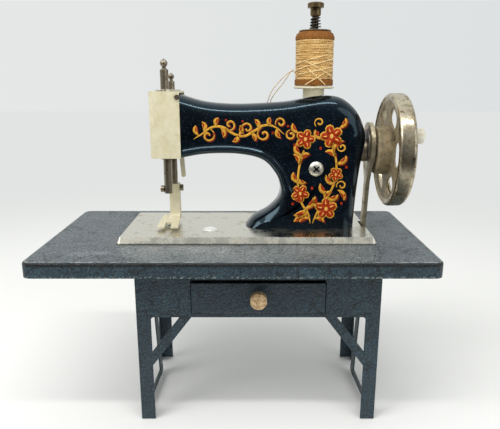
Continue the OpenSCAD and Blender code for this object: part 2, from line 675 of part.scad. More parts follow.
// Face cover: painted sheet wrapped round the arm's end, closed on top, lapped over the casing
cover_lap = 2;
cover_corner_r = 4;
module cover_plan(inset) {
    r = cover_corner_r - inset;
    x = cover_x + inset;
    h = cover_half - inset;
    translate([x + r, seam_y - h]) square([head_x + cover_lap - x - r + (inset > 0 ? over : 0), 2 * h]);
    translate([x, seam_y - h + r]) square([2 * r, 2 * (h - r)]);
    for (s = [-1, 1]) translate([x + r, seam_y + s * (h - r)]) circle(r = r);
}
cover_rivet_x = head_x + cover_lap * 0.35;
cover_rivet_drop = 3.6;
cover_rivet_z = cover_top - cover_rivet_drop;
cover_rivet_d = 3.4;
cover_rivet_h = 0.9;
cover_shank_d = 1.6;
lifter_out = 2;
lifter_rise = 8.5;
lifter_x = head_x - lifter_out;
lifter_z = deck + cover_low + lifter_rise;
lifter_shaft_d = 4;
module face_cover() color(cream) difference() {
    translate([0, 0, cover_base]) linear_extrude(cover_top - cover_base) cover_plan(0);
    translate([0, 0, cover_base - over]) linear_extrude(cover_top - cover_sheet - cover_base + over) cover_plan(cover_sheet);
    for (s = [[needle_x, needle_y, needle_d], [presser_x, presser_y, presser_d]])
        rod_z(s[0], s[1], cover_base, s[2] + 2 * slack, cover_top - cover_base + over);
    rod_y(cover_rivet_x, seam_y - 2 * cover_half, cover_rivet_z, cover_shank_d + 2 * run_fit, 4 * cover_half);
    rod_y(lifter_x, seam_y, lifter_z, lifter_shaft_d + 2 * run_fit, 2 * cover_half);
}
module face_cover_rivets() color(dark_steel) for (s = [-1, 1]) {
    translate([cover_rivet_x, seam_y + s * cover_half, cover_rivet_z]) rotate([s > 0 ? -90 : 90, 0, 0]) {
        cylinder(d = cover_rivet_d, h = cover_rivet_h);
        translate([0, 0, -cover_sheet - cover_rivet_h]) cylinder(d = cover_shank_d, h = cover_sheet + cover_rivet_h * 1.5);
        translate([0, 0, -cover_sheet - cover_rivet_h]) cylinder(d = cover_shank_d * 1.7, h = cover_rivet_h);
    }
}
guide_plate_t = 1.2;
guide_rim = 3.4;
module bar_guide_plate() color(nickel) difference() {
    translate([0, 0, cover_top]) linear_extrude(guide_plate_t)
        bar([needle_x, needle_y], [presser_x, presser_y], needle_d + 2 * guide_rim);
    rod_z(needle_x, needle_y, cover_top - over, needle_d + 2 * run_fit, guide_plate_t + 2 * over);
    rod_z(presser_x, presser_y, cover_top - over, presser_d + 2 * run_fit, guide_plate_t + 2 * over);
}

// Needle bar with its necked finial, clamp screw, driving collar and the lever that moves it
finial_share = 0.92;
neck_share = 0.5;
module finial_bar(x, y, low, top, d) {
    ball = d * finial_share;
    neck = d * neck_share;
    shoulder = top - ball * 1.25;
    translate([x, y, 0]) rotate_extrude() {
        translate([0, low]) square([d / 2, shoulder - d * 0.2 - low]);
        polygon([[0, shoulder - d * 0.2], [d / 2, shoulder - d * 0.2], [neck / 2, shoulder], [neck / 2, top - ball / 2],
            [0, top - ball / 2]]);
        translate([0, top - ball / 2 - ball * 0.15]) intersection() {
            circle(d = ball);
            translate([0, -ball]) square(2 * ball);
        }
        polygon([[0, top - ball / 2], [ball * 0.36, top - ball * 0.32], [0, top]]);
    }
}
clamp_hole_d = 2.2;
clamp_z = deck + needle_low + 3;
clamp_depth = 2;
module needle_bar() color(steel) difference() {
    finial_bar(needle_x, needle_y, deck + needle_low, deck + needle_top, needle_d);
    rod_x(needle_x - needle_d, needle_y, clamp_z, clamp_hole_d, needle_d - needle_d / 2 + clamp_depth);
    rod_z(needle_x, needle_y, deck + needle_low - over, clamp_hole_d * 0.7, over + 3 * clamp_hole_d);
}
clamp_head_d = 4.6;
clamp_head_l = 2.4;
slot_share = 0.2;
module clamp_screw(x, y, z, side) translate([x, y, z]) rotate([0, 90 * side, 0]) difference() {
    union() {
        cylinder(d = clamp_hole_d - 2 * run_fit, h = clamp_head_l);
        translate([0, 0, clamp_depth * 0.9]) cylinder(d = clamp_head_d, h = clamp_head_l);
    }
    translate([-clamp_head_d, -clamp_head_d * slot_share / 2, clamp_depth * 0.9 + clamp_head_l * (1 - 2 * slot_share)])
        cube([2 * clamp_head_d, clamp_head_d * slot_share, clamp_head_l]);
}
module needle_clamp_screw() color(dark_steel) clamp_screw(needle_x - needle_d / 2 + clamp_depth * 0.9, needle_y, clamp_z, -1);
collar_d = 6.8;
collar_h = 6;
peg_d = 2.8;
module needle_bar_collar() color(steel) difference() {
    union() {
        rod_z(needle_x, needle_y, arm_mid_z - collar_h / 2, collar_d, collar_h);
        rod_y(needle_x, needle_y, arm_mid_z, peg_d, lever_y + lever_t - needle_y);
    }
    rod_z(needle_x, needle_y, arm_mid_z - collar_h, needle_d + 2 * fixed_fit, 2 * collar_h);
}

// Needle lever: rocks on the sleeve, its fork drives the collar's peg, its tab faces the crank pin
crank_disc_t = 2.5;
crank_disc_d = 13;
crank_set = 1;
crank_x = bush_end - bush_l - crank_set;
tab_t = 1.6;
tab_gap = 2.3;
crank_pin_l = 0.7;
tab_x = crank_x - crank_disc_t - tab_gap - tab_t;
knee_back = 5;
knee_drop = 5.5;
knee = [pivot_x - knee_back, arm_mid_z - knee_drop];
fork_slot_l = 9;
lever_hub_d = 13;
lever_hub_w = 8;
tab_h = 9;
tab_w = 12;
crank_pin_d = 3;
module needle_lever() color(steel) difference() {
    union() {
        xz(lever_y, lever_t) {
            bar([pivot_x, pivot_z], knee, lever_h);
            bar(knee, [needle_x, arm_mid_z], lever_h);
            bar([needle_x - fork_slot_l / 4, arm_mid_z], [needle_x + fork_slot_l / 4, arm_mid_z], lever_end_h);
            bar([pivot_x, pivot_z], [tab_x + tab_t - lever_h / 2, axis_z - tab_h / 2], lever_h);
        }
        rod_y(pivot_x, lever_y + lever_t / 2 - lever_hub_w / 2, pivot_z, lever_hub_d, lever_hub_w);
        yz(tab_x, tab_t) translate([seam_y - tab_w / 2, axis_z - tab_h * 0.6]) square([tab_w, tab_h]);
    }
    rod_y(pivot_x, lever_y - 2 * lever_hub_w, pivot_z, sleeve_d + 2 * run_fit, 4 * lever_hub_w);
    xz(lever_y - over, lever_t + 2 * over)
        bar([needle_x - (fork_slot_l - peg_d) / 2, arm_mid_z], [needle_x + (fork_slot_l - peg_d) / 2, arm_mid_z], peg_d + 2 * slack);
    yz(tab_x - over, tab_t + 2 * over)
        bar([seam_y - crank_throw, axis_z], [seam_y + crank_throw, axis_z], crank_pin_d + 2 * run_fit);
}

// Presser bar, collar with its peg, spring, foot and clamp screw
foot_rise = 33;
foot_top = deck + foot_rise;
socket_depth = 6;
module presser_bar() color(steel)
    finial_bar(presser_x, presser_y, foot_top - socket_depth, deck + presser_top, presser_d);
presser_collar_d = 7.2;
presser_collar_h = 4.5;
cam_low_r = 3;
peg_r = 1.2;
cam_gap = 0.45;
peg_z = lifter_z + cam_low_r + cam_gap + peg_r;
cam_t = 2;
ear_t = 1.8;
ear_set = 0.6;
ear_y = presser_y + presser_d / 2 + ear_set - ear_t / 2;
cam_y = ear_y + ear_t + gap;
module presser_collar() color(steel) difference() {
    union() {
        rod_z(presser_x, presser_y, peg_z - presser_collar_h / 2, presser_collar_d, presser_collar_h);
        translate([presser_x, ear_y, peg_z - presser_collar_h / 2]) cube([lifter_x - presser_x + peg_r / 2, ear_t, presser_collar_h]);
        rod_y(lifter_x, ear_y, peg_z, 2 * peg_r, ear_t + gap + cam_t);
    }
    rod_z(presser_x, presser_y, peg_z - presser_collar_h, presser_d + 2 * fixed_fit, 2 * presser_collar_h);
}
presser_spring_wire = 0.7;
presser_spring_r = 3;
presser_spring_curls = 9;
coil_rings = 8;
coil_sides = 6;
spring_foot = peg_z + presser_collar_h / 2;
spring_head = cover_top - cover_sheet - gap - guide_t;
presser_coil = helix(presser_spring_r, presser_spring_r, spring_foot, spring_head, presser_spring_curls, coil_rings,
                     presser_spring_wire);
module presser_spring() color(steel) translate([presser_x, presser_y, 0])
    tube(presser_coil, presser_spring_wire / 2, coil_sides, [1, 0, 0]);
echo(str("presser spring least gap ", least_gap(presser_coil, coil_rings, presser_spring_wire)));

sole_t = 1.4;
heel_rise = 3.2;
toe_rise = 1.4;
heel_w_share = 0.85;
sole_heel = 2.5;
sole_shift = 1;
sole_back = presser_y + sole_heel;
sole_front = sole_back - sole_l;
sole_x = (needle_x + presser_x) / 2 - sole_shift;
sole_low = plate_top + gap;
toe_slot_w = 4.2;
toe_slot_l = 9;
ankle_w = 7.2;
ankle_d = 7.2;
ankle_bend_r = 5;
ankle_set = 0.6;
ankle_y = presser_y - ankle_d / 2 + ankle_set;
ankle_low = sole_low + heel_rise;
foot_screw_d = 2.2;
module presser_foot() color(cream) difference() {
    union() {
        // Sole, wider and lower towards its toes
        hull() {
            translate([sole_x - sole_w * heel_w_share / 2, sole_back - run_fit, sole_low + heel_rise])
                cube([sole_w * heel_w_share, run_fit, sole_t]);
            translate([sole_x - sole_w / 2, sole_front, sole_low + toe_rise]) cube([sole_w, run_fit, sole_t]);
        }
        // Ankle up to the bar, with a foot that swells into the sole
        translate([presser_x - ankle_w / 2, ankle_y, ankle_low])
            cube([ankle_w, ankle_d - ankle_set, foot_top - ankle_low]);
        yz(presser_x - ankle_w / 2, ankle_w) difference() {
            translate([ankle_y - ankle_bend_r, ankle_low]) square(ankle_bend_r + run_fit);
            translate([ankle_y - ankle_bend_r, ankle_low + sole_t / 2 + ankle_bend_r]) circle(r = ankle_bend_r);
        }
    }
    translate([sole_x - toe_slot_w / 2, sole_front - over, sole_low - over])
        cube([toe_slot_w, toe_slot_l + over, sole_t + heel_rise + 2 * over]);
    rod_z(presser_x, presser_y, foot_top - socket_depth, presser_d + 2 * fixed_fit, socket_depth + over);
    rod_x(presser_x, presser_y, foot_top - socket_depth / 2, foot_screw_d, ankle_w);
}
foot_screw_l = (ankle_w - presser_d) / 2 - fixed_fit;
module foot_screw() color(dark_steel)
    translate([presser_x + ankle_w / 2, presser_y, foot_top - socket_depth / 2]) rotate([0, 90, 0]) {
        translate([0, 0, -foot_screw_l]) cylinder(d = foot_screw_d - 2 * run_fit, h = foot_screw_l + clamp_head_l / 2);
        cylinder(d = clamp_head_d, h = clamp_head_l);
    }

// Lifter: a spiral cam on a short shaft through the cover, and the lever behind it
cam_steps = 16;
function cam_point(a) = let (r = cam_low_r + presser_lift * a / lifter_turn) [r * sin(a), r * cos(a)];
lever_lean = 4;
lifter_len = 24.6;
lifter_w = 3.2;
lifter_t = 1.5;
lifter_y = seam_y + cover_half + gap;
module lifter_cam() color(steel) {
    xz(cam_y, cam_t) translate([lifter_x, lifter_z]) {
        circle(r = cam_low_r);
        polygon(concat([[0, 0]], [for (k = [0:cam_steps]) cam_point(lifter_turn * k / cam_steps)]));
    }
    rod_y(lifter_x, cam_y, lifter_z, lifter_shaft_d, lifter_y + lifter_t - cam_y);
}
module lifter_lever() color(cream) xz(lifter_y, lifter_t) difference() {
    union() {
        translate([lifter_x, lifter_z]) circle(d = 2 * lifter_w);
        bar([lifter_x, lifter_z], [lifter_x + lifter_len * sin(lever_lean), lifter_z - lifter_len * cos(lever_lean)], lifter_w);
    }
    translate([lifter_x, lifter_z]) circle(d = lifter_shaft_d + 2 * fixed_fit);
}

// Main shaft, needle crank, bearing bush, eccentric, connecting rod and the wheel on its hub
bush_flange_d = 19;
bush_flange_t = 1.6;
flange_lip = 0.8;
strap_x = rod_x0;
strap_t = rod_t;
hub_x = strap_x + strap_t + gap;
hub_flange_t = 1.4;
hub_flange_d = 24;
rim_x = bush_end + rim_gap;
web_x = rim_x + web_set;
drum_x = hub_x + hub_flange_t;
nut_x = drum_x + wheel_sheet;
spigot_d = 10;
wheel_nut_h = 3.4;
wheel_nut_flats = 10;
shaft_tail = 1.2;
shaft_end = nut_x + wheel_nut_h + shaft_tail;
module main_shaft() color(steel) rod_x(crank_x, seam_y, axis_z, shaft_d, shaft_end - crank_x);
module crank_disc() color(steel) {
    rod_x(crank_x - crank_disc_t, seam_y, axis_z, crank_disc_d, crank_disc_t);
    rod_x(crank_x - crank_disc_t - crank_pin_l, seam_y + crank_throw, axis_z, crank_pin_d, crank_disc_t);
}
module shaft_bush() color(dark_steel) difference() {
    union() {
        rod_x(bush_end - bush_l, seam_y, axis_z, bush_d, bush_l);
        rod_x(bush_end - bush_l, seam_y, axis_z, bush_flange_d, bush_flange_t);
    }
    rod_x(bush_end - bush_l - over, seam_y, axis_z, shaft_d + 2 * run_fit, bush_l + 2 * over);
}
module eccentric() color(steel) difference() {
    union() {
        rod_x(flange_x, seam_y, axis_z + throw, eccentric_d + 2 * flange_lip, flange_t);
        rod_x(flange_x, seam_y, axis_z + throw, eccentric_d, hub_x - flange_x);
    }
    rod_x(flange_x - over, seam_y, axis_z, shaft_d + 2 * fixed_fit, hub_x - flange_x + 2 * over);
}
rod_tail = 4;
rod_pin_drop = 11;
rod_pin_z = deck - rod_pin_drop;
rod_low = rod_pin_z - rod_tail;
rod_pin_d = 2.4;
rod_low_x = rod_x0 - rod_set;
// The strap runs into the rod over a shoulder, given as shares of the strap's diameter
strap_mid = axis_z + throw;
shoulder_w_share = 0.36;
shoulder_top_share = 0.345;
shoulder_low_share = 0.78;
shoulder_z = strap_mid - strap_d * shoulder_top_share;
rod_neck_z = strap_mid - strap_d * shoulder_low_share;
module connecting_rod() color(nickel) difference() {
    union() {
        rod_x(strap_x, seam_y, strap_mid, strap_d, strap_t);
        yz(rod_x0, rod_t) polygon([
            [seam_y - strap_d * shoulder_w_share, shoulder_z], [seam_y + strap_d * shoulder_w_share, shoulder_z],
            [seam_y + rod_w_top / 2, rod_neck_z - run_fit], [seam_y - rod_w_top / 2, rod_neck_z - run_fit]]);
        hull() {
            translate([rod_x0, seam_y - rod_w_top / 2, rod_neck_z - run_fit]) cube([rod_t, rod_w_top, 2 * run_fit]);
            translate([rod_low_x, seam_y - rod_w_low / 2, rod_low]) cube([rod_t, rod_w_low, run_fit]);
        }
        rod_x(rod_low_x - gap * 1.7, seam_y, rod_pin_z, rod_pin_d, rod_t);
    }
    rod_x(strap_x - over, seam_y, strap_mid, eccentric_d + 2 * run_fit, strap_t + 2 * over);
}
module wheel_hub() color(steel) difference() {
    union() {
        rod_x(hub_x, seam_y, axis_z, hub_flange_d, hub_flange_t);
        rod_x(hub_x, seam_y, axis_z, spigot_d, nut_x - hub_x);
    }
    rod_x(hub_x - over, seam_y, axis_z, shaft_d + 2 * fixed_fit, nut_x - hub_x + 2 * over);
}
// Handwheel: one pressing, with a drum drawn towards the rod, a pierced web and a rolled rim
rim_roll_r = 2.6;
drum_roll_r = 2.2;
spigot_r = spigot_d / 2 + fixed_fit;
module quarter_ring(r) intersection() {
    difference() {
        circle(r = r);
        circle(r = r - wheel_sheet);
    }
    square(2 * r);
}
crank_pin_hole_d = 3.2;
module handwheel() color(nickel) on_shaft() difference() {
    rotate_extrude($fn = 96) {
        translate([spigot_r, drum_x]) square([drum_d / 2 - drum_roll_r - spigot_r, wheel_sheet]);
        translate([drum_d / 2 - drum_roll_r, drum_x + drum_roll_r]) mirror([0, 1]) quarter_ring(drum_roll_r);
        translate([drum_d / 2 - wheel_sheet, drum_x + drum_roll_r])
            square([wheel_sheet, web_x + wheel_sheet - drum_x - drum_roll_r]);
        translate([drum_d / 2 - wheel_sheet / 2, web_x]) square([wheel_r - wheel_sheet / 2 - drum_d / 2, wheel_sheet]);
        translate([wheel_r - wheel_sheet, rim_x + rim_roll_r]) square([wheel_sheet, rim_w - 2 * rim_roll_r]);
        translate([wheel_r - rim_roll_r, rim_x + rim_w - rim_roll_r]) quarter_ring(rim_roll_r);
        translate([wheel_r - rim_roll_r, rim_x + rim_roll_r]) mirror([0, 1]) quarter_ring(rim_roll_r);
    }
    for (k = [0:5]) rotate(30 + 60 * k) translate([hole_ring_r, 0, web_x - over]) linear_extrude(wheel_sheet + 2 * over)
        bar([0, -(hole_l - hole_w) / 2], [0, (hole_l - hole_w) / 2], hole_w);
    rotate(crank_angle + 90) translate([crank_r, 0, web_x - over]) cylinder(d = crank_pin_hole_d + 2 * fixed_fit, h = wheel_sheet + 2 * over);
}
module wheel_nut() color(nickel) translate([nut_x, seam_y, axis_z]) rotate([0, 90, 0])
    hex_nut(wheel_nut_flats, wheel_nut_h, shaft_d + 2 * fixed_fit);
knob_reach = 8.9;
knob_out = rim_x + rim_w + knob_reach;
pin_head_t = 0.8;
pin_head_d = 6;
crank_knob_x = web_x + wheel_sheet + gap;
crank_flare = 1;
module crank_knob_pin() color(dark_steel) on_shaft() rotate(crank_angle + 90) translate([crank_r, 0, 0]) {
    translate([0, 0, web_x - pin_head_t]) cylinder(d = pin_head_d, h = pin_head_t);
    translate([0, 0, web_x - pin_head_t]) cylinder(d = crank_pin_hole_d, h = knob_out - web_x + pin_head_t);
    translate([0, 0, knob_out - pin_head_t]) cylinder(d = pin_head_d, h = pin_head_t);
}
module crank_knob() color(ivory) on_shaft() rotate(crank_angle + 90) translate([crank_r, 0, 0]) difference() {
    rotate_extrude() polygon([[0, crank_knob_x], [crank_d / 2 - crank_flare, crank_knob_x],
        [crank_d / 2 - 0.4 * crank_flare, (crank_knob_x + knob_out) / 2], [crank_d / 2, knob_out - 3 * crank_flare],
        [crank_d / 2, knob_out - 1.5 * crank_flare], [crank_d / 2 - crank_flare * 0.7, knob_out - crank_flare * 0.4],
        [0, knob_out - crank_flare * 0.4]]);
    translate([0, 0, crank_knob_x - over]) cylinder(d = crank_pin_hole_d + 2 * run_fit, h = knob_out);
    translate([0, 0, knob_out - pin_head_t - gap]) cylinder(d = pin_head_d + 2 * gap, h = over);
}

// Spool stand on the arm, its seat, the pin that passes through it and the wooden spool with its thread
stand_d = 14.4;
seat_d = 27.4;
seat_t = 1.6;
spool_z = deck + spool_low;
stand_top = spool_z - gap - seat_t;
// The stand's foot lies along the arm's top edge, above its highest point under the stand
top_stations = 10;
top_edge = [for (i = [0:top_stations * station_steps]) outer_edge[i]];
function arm_rise(dx) = lookup(spool_x + dx, top_edge);
arm_slope = atan((arm_rise(stand_d / 2) - arm_rise(-stand_d / 2)) / stand_d);
arm_top_z = max([for (k = [-round_steps:round_steps]) let (dx = stand_d / 2 * k / round_steps)
    arm_rise(dx) - dx * tan(arm_slope)]);
module spool_stand() color(cream) difference() {
    rod_z(spool_x, seam_y, arm_top_z - stand_d / 2, stand_d, stand_top - arm_top_z + stand_d / 2);
    translate([spool_x, seam_y, arm_top_z + gap]) rotate([0, -arm_slope, 0]) translate([-stand_d, -stand_d, -2 * stand_d])
        cube([2 * stand_d, 2 * stand_d, 2 * stand_d]);
    rod_z(spool_x, seam_y, arm_top_z - stand_d, spool_hole_d, 2 * stand_d + stand_top - arm_top_z);
}
seat_rim = 0.9;
module spool_seat() color(nickel) translate([spool_x, seam_y, 0]) difference() {
    rotate_extrude() polygon([[spool_hole_d / 2, stand_top], [seat_d / 2 - seat_rim, stand_top],
        [seat_d / 2, stand_top + seat_t / 2], [seat_d / 2 - seat_rim, stand_top + seat_t], [spool_hole_d / 2, stand_top + seat_t]]);
}
pin_nut_flats = 8;
pin_nut_h = 3;
pin_nut_top = arm_top_z - casing_wall - pin_nut_flats * abs(tan(arm_slope)) - gap;
washer_t = 0.7;
thumb_h = 9;
nut_z = spool_z + spool_h + washer_t + gap + spring_h + gap;
module spool_pin() color(steel)
    rod_z(spool_x, seam_y, pin_nut_top - pin_nut_h - gap, spool_pin_d, nut_z + thumb_h * 0.7 - pin_nut_top + pin_nut_h + gap);
module spool_pin_nut() color(nickel) translate([spool_x, seam_y, pin_nut_top - pin_nut_h])
    hex_nut(pin_nut_flats, pin_nut_h, spool_pin_d + 2 * fixed_fit);
spool_top_flange = 5.2;
spool_low_flange = 4;
spool_core_d = 10;
spool_slack = 0.7;
spool_bore_d = spool_pin_d + spool_slack;
thread_low = spool_z + spool_low_flange;
thread_high = spool_z + spool_h - spool_top_flange;
module spool() color(wood) translate([spool_x, seam_y, 0]) difference() {
    rotate_extrude() polygon([[0, spool_z], [spool_d / 2 - 0.6 * seat_rim, spool_z], [spool_d / 2, spool_z + 0.6 * seat_rim],
        [spool_d / 2, thread_low], [spool_core_d / 2, thread_low], [spool_core_d / 2, thread_high], [spool_d / 2, thread_high],
        [spool_d / 2, thread_high + spool_top_flange * 0.35], [spool_d * 0.465, thread_high + spool_top_flange * 0.75],
        [spool_d * 0.4, spool_z + spool_h], [0, spool_z + spool_h]]);
    translate([0, 0, spool_z - over]) cylinder(d = spool_bore_d, h = spool_h + 2 * over);
}
wind_r = spool_d / 2 - thread_d / 2;
core_gap = 0.1;
thread_core_r = wind_r - thread_d / 2 - core_gap;
module thread_core() color(thread_colour) translate([spool_x, seam_y, thread_low]) difference() {
    cylinder(r = thread_core_r, h = thread_high - thread_low);
    translate([0, 0, -over]) cylinder(d = spool_core_d, h = thread_high - thread_low + 2 * over);
}
wind_rings = 24;
wind_path = helix(wind_r, wind_r, thread_low, thread_high, thread_turns, wind_rings, thread_d);
module thread_winding() color(thread_colour) translate([spool_x, seam_y, 0])
    tube(wind_path, thread_d / 2, coil_sides, [1, 0, 0]);
echo(str("thread winding least gap ", least_gap(wind_path, wind_rings, thread_d)));

// Tension washer, conical spring and thumb nut above the spool
washer_d = 21;
module tension_washer() color(dark_steel) translate([spool_x, seam_y, spool_z + spool_h + gap]) difference() {
    cylinder(d = washer_d, h = washer_t);
    translate([0, 0, -over]) cylinder(d = spool_hole_d, h = washer_t + 2 * over);
}
spring_low_r = 3.9;
spring_high_r = 2.8;
spring_z = spool_z + spool_h + gap + washer_t;
tension_coil = helix(spring_low_r, spring_high_r, spring_z, spring_z + spring_h, spring_curls, coil_rings, spring_wire);
module tension_spring() color(dark_steel) translate([spool_x, seam_y, 0])
    tube(tension_coil, spring_wire / 2, coil_sides, [1, 0, 0]);
echo(str("tension spring least gap ", least_gap(tension_coil, coil_rings, spring_wire)));
thumb_d = 10.6;
thumb_barrel_d = 6.9;
thumb_flange_h = 3.8;
thumb_chamfer = 0.9;
module thumb_nut() color(dark_steel) translate([spool_x, seam_y, nut_z]) difference() {
    rotate_extrude() polygon([[0, 0], [thumb_barrel_d / 2 - thumb_chamfer, 0], [thumb_barrel_d / 2, thumb_chamfer],
        [thumb_barrel_d / 2, thumb_h - thumb_flange_h], [thumb_d / 2, thumb_h - thumb_flange_h + thumb_chamfer / 3],
        [thumb_d / 2, thumb_h - thumb_chamfer], [thumb_d / 2 - 1.3 * thumb_chamfer, thumb_h - 0.3 * thumb_chamfer], [0, thumb_h]]);
    translate([0, 0, -over]) cylinder(d = spool_pin_d + 2 * run_fit, h = over + thumb_h * 0.75);
}

// Loose loop of thread from the spool, over the arm and down its back
loop_d = 0.5;
loop_sides = 8;
loop_steps = 2;
loop_route = [[39.7, 6, 231.5], [37.5, 6.2, 231], [35.4, 6.8, 229.7], [32.2, 7.8, 226.8], [29.3, 9, 223.7], [27, 10, 220.9],
    [25, 11.2, 217.8], [23.6, 12.3, 214.6], [22.8, 13.6, 211.9], [22.4, 16, 210.8], [22.2, 18.8, 208.6], [22, 20.8, 205],
    [22, 21.2, 201], [22.4, 21.2, 197], [23.6, 21.2, 194.6], [25.2, 21.2, 194.6], [26.2, 21.2, 197], [26.2, 21.2, 201],
    [25.8, 20.8, 205], [25.2, 18.9, 208.8], [24.7, 16.2, 211], [24.8, 14, 212.3], [26.6, 12.4, 215.6], [29.6, 11, 219.6],
    [32.4, 9.8, 223], [35.4, 8.6, 227.4], [37, 8, 229.9], [38.4, 7.7, 231.6], [39.7, 7.6, 232.6]];
module thread_loop() color(thread_colour) tube(curve(loop_route, loop_steps), loop_d / 2, loop_sides, [0, 1, 0]);

// Looper lever under the plate, its hook, the hanger that carries it and the pivot pin
hanger_t = 1;
looper_t = 2;
looper_y = seam_y - looper_t / 2;
looper_pivot_x = 24;
looper_z = rod_pin_z;
looper_h = 4;
looper_hub_d = 8;
looper_pin_d = 3;
looper_tab_w = 9;
looper_tab_h = 7;
looper_end_x = rod_low_x - gap * 3;
hanger_gap = 0.4;
hanger_l = 12;
module looper_lever() color(steel) difference() {
    union() {
        xz(looper_y, looper_t) {
            bar([needle_x, looper_z], [looper_end_x - looper_h / 2, looper_z], looper_h);
            translate([looper_pivot_x, looper_z]) circle(d = looper_hub_d);
        }
        yz(looper_end_x - tab_t, tab_t) translate([seam_y - looper_tab_w / 2, looper_z - looper_tab_h / 2])
            square([looper_tab_w, looper_tab_h]);
    }
    rod_y(looper_pivot_x, looper_y - over, looper_z, looper_pin_d + 2 * run_fit, looper_t + 2 * over);
    yz(looper_end_x - tab_t - over, tab_t + 2 * over)
        bar([seam_y - throw / 2, looper_z], [seam_y + throw / 2, looper_z], rod_pin_d + 2 * run_fit);
}
hook_t = 1.6;
hook_drop = 4.4;
hook_top = deck - hook_drop;
hook_w = 3;
module looper_hook() color(nickel) xz(looper_y - hook_t, hook_t) difference() {
    union() {
        bar([needle_x, looper_z], [needle_x, hook_top - hook_w / 2], hook_w);
        translate([needle_x, hook_top - hook_w]) square([2 * hook_w, hook_w]);
    }
    translate([needle_x + 2 * hook_w, hook_top - hook_w * 1.2]) circle(r = hook_w * 0.9);
}
module lever_bracket() color(steel) difference() {
    union() {
        translate([looper_pivot_x - hanger_l / 2, looper_y - hanger_gap - hanger_t, hanger_top - hanger_t])
            cube([pivot_x + bracket_w / 2 - looper_pivot_x + hanger_l / 2, bracket_screw_y + bracket_nut_flats - looper_y, hanger_t]);
        for (y = [looper_y - hanger_gap - hanger_t, looper_y + looper_t + hanger_gap]) {
            translate([looper_pivot_x - hanger_l / 2, y, looper_z]) cube([hanger_l, hanger_t, hanger_top - looper_z]);
            rod_y(looper_pivot_x, y, looper_z, hanger_l, hanger_t);
        }
    }
    rod_y(looper_pivot_x, looper_y - 2 * hanger_l, looper_z, looper_pin_d + 2 * run_fit, 4 * hanger_l);
    for (x = bracket_screw_xs) rod_z(x, bracket_screw_y, hanger_top - hanger_t - over, bracket_screw_d + 2 * run_fit, hanger_t + 2 * over);
}
pin_head_rise = 1.2;
module lever_pin() color(nickel) {
    span = looper_t + 2 * (hanger_gap + hanger_t);
    rod_y(looper_pivot_x, looper_y - hanger_gap - hanger_t - pin_head_rise, looper_z, looper_pin_d, span + 2 * pin_head_rise);
    for (y = [looper_y - hanger_gap - hanger_t - pin_head_rise, looper_y + looper_t + hanger_gap + hanger_t])
        rod_y(looper_pivot_x, y, looper_z, 1.6 * looper_pin_d, pin_head_rise);
}

table_top();
front_leg_panel();
rear_leg_panel();
left_end_panel();
right_end_panel();
drawer_runners();
drawer_tray();
drawer_front();
drawer_knob();
drawer_knob_screw();
base_plate();
plate_rivet();
body_front_shell();
body_rear_shell();
body_screw();
body_nut();
pivot_sleeve();
column_bracket();
bracket_screws();
bracket_nuts();
bar_bracket();
face_cover();
face_cover_rivets();
bar_guide_plate();
needle_bar();
needle_clamp_screw();
needle_bar_collar();
needle_lever();
presser_bar();
presser_collar();
presser_spring();
presser_foot();
foot_screw();
lifter_cam();
lifter_lever();
main_shaft();
crank_disc();
shaft_bush();
eccentric();
connecting_rod();
wheel_hub();
handwheel();
wheel_nut();
crank_knob_pin();
crank_knob();
spool_stand();
spool_seat();
spool_pin();
spool_pin_nut();
spool();
thread_core();
thread_winding();
tension_washer();
tension_spring();
thumb_nut();
thread_loop();
looper_lever();
looper_hook();
lever_bracket();
lever_pin();
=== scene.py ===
"""Toy sewing machine on a sheet-metal table: finishes, thread, ornament, camera and light."""
import math
import random

import bpy
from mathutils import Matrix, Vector


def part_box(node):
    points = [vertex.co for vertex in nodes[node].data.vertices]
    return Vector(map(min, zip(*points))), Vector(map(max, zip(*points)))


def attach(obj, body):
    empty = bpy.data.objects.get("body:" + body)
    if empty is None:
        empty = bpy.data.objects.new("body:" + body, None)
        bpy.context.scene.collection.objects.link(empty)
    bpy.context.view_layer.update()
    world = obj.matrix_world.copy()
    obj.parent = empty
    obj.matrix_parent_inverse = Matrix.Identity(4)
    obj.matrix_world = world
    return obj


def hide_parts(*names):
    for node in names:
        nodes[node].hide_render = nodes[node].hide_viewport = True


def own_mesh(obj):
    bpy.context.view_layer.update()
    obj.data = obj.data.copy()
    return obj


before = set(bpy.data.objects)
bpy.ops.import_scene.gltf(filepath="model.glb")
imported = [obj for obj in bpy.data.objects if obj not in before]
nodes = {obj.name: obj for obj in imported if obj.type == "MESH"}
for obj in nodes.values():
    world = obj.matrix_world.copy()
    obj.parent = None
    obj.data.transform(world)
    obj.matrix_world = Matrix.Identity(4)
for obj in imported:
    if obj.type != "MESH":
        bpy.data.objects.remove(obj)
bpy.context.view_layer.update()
MM = 0.001


# Camera. The toy is seen square from the front, from just above its spool and close by, looking
# down a little, so the table top opens up and its front edge runs level across the picture.
CAMERA_AT = (10.32 * MM, -358.2 * MM, 223.7 * MM)
CAMERA_PITCH = math.radians(75.94)
FOCAL_PX, PICTURE_PX, SENSOR = 525, 500, 36.0

bpy.ops.object.camera_add(location=CAMERA_AT, rotation=(CAMERA_PITCH, 0, 0))
camera = bpy.context.object
camera.data.sensor_width = SENSOR
camera.data.lens = SENSOR * FOCAL_PX / PICTURE_PX
camera.data.clip_start = 0.01
bpy.context.scene.camera = camera


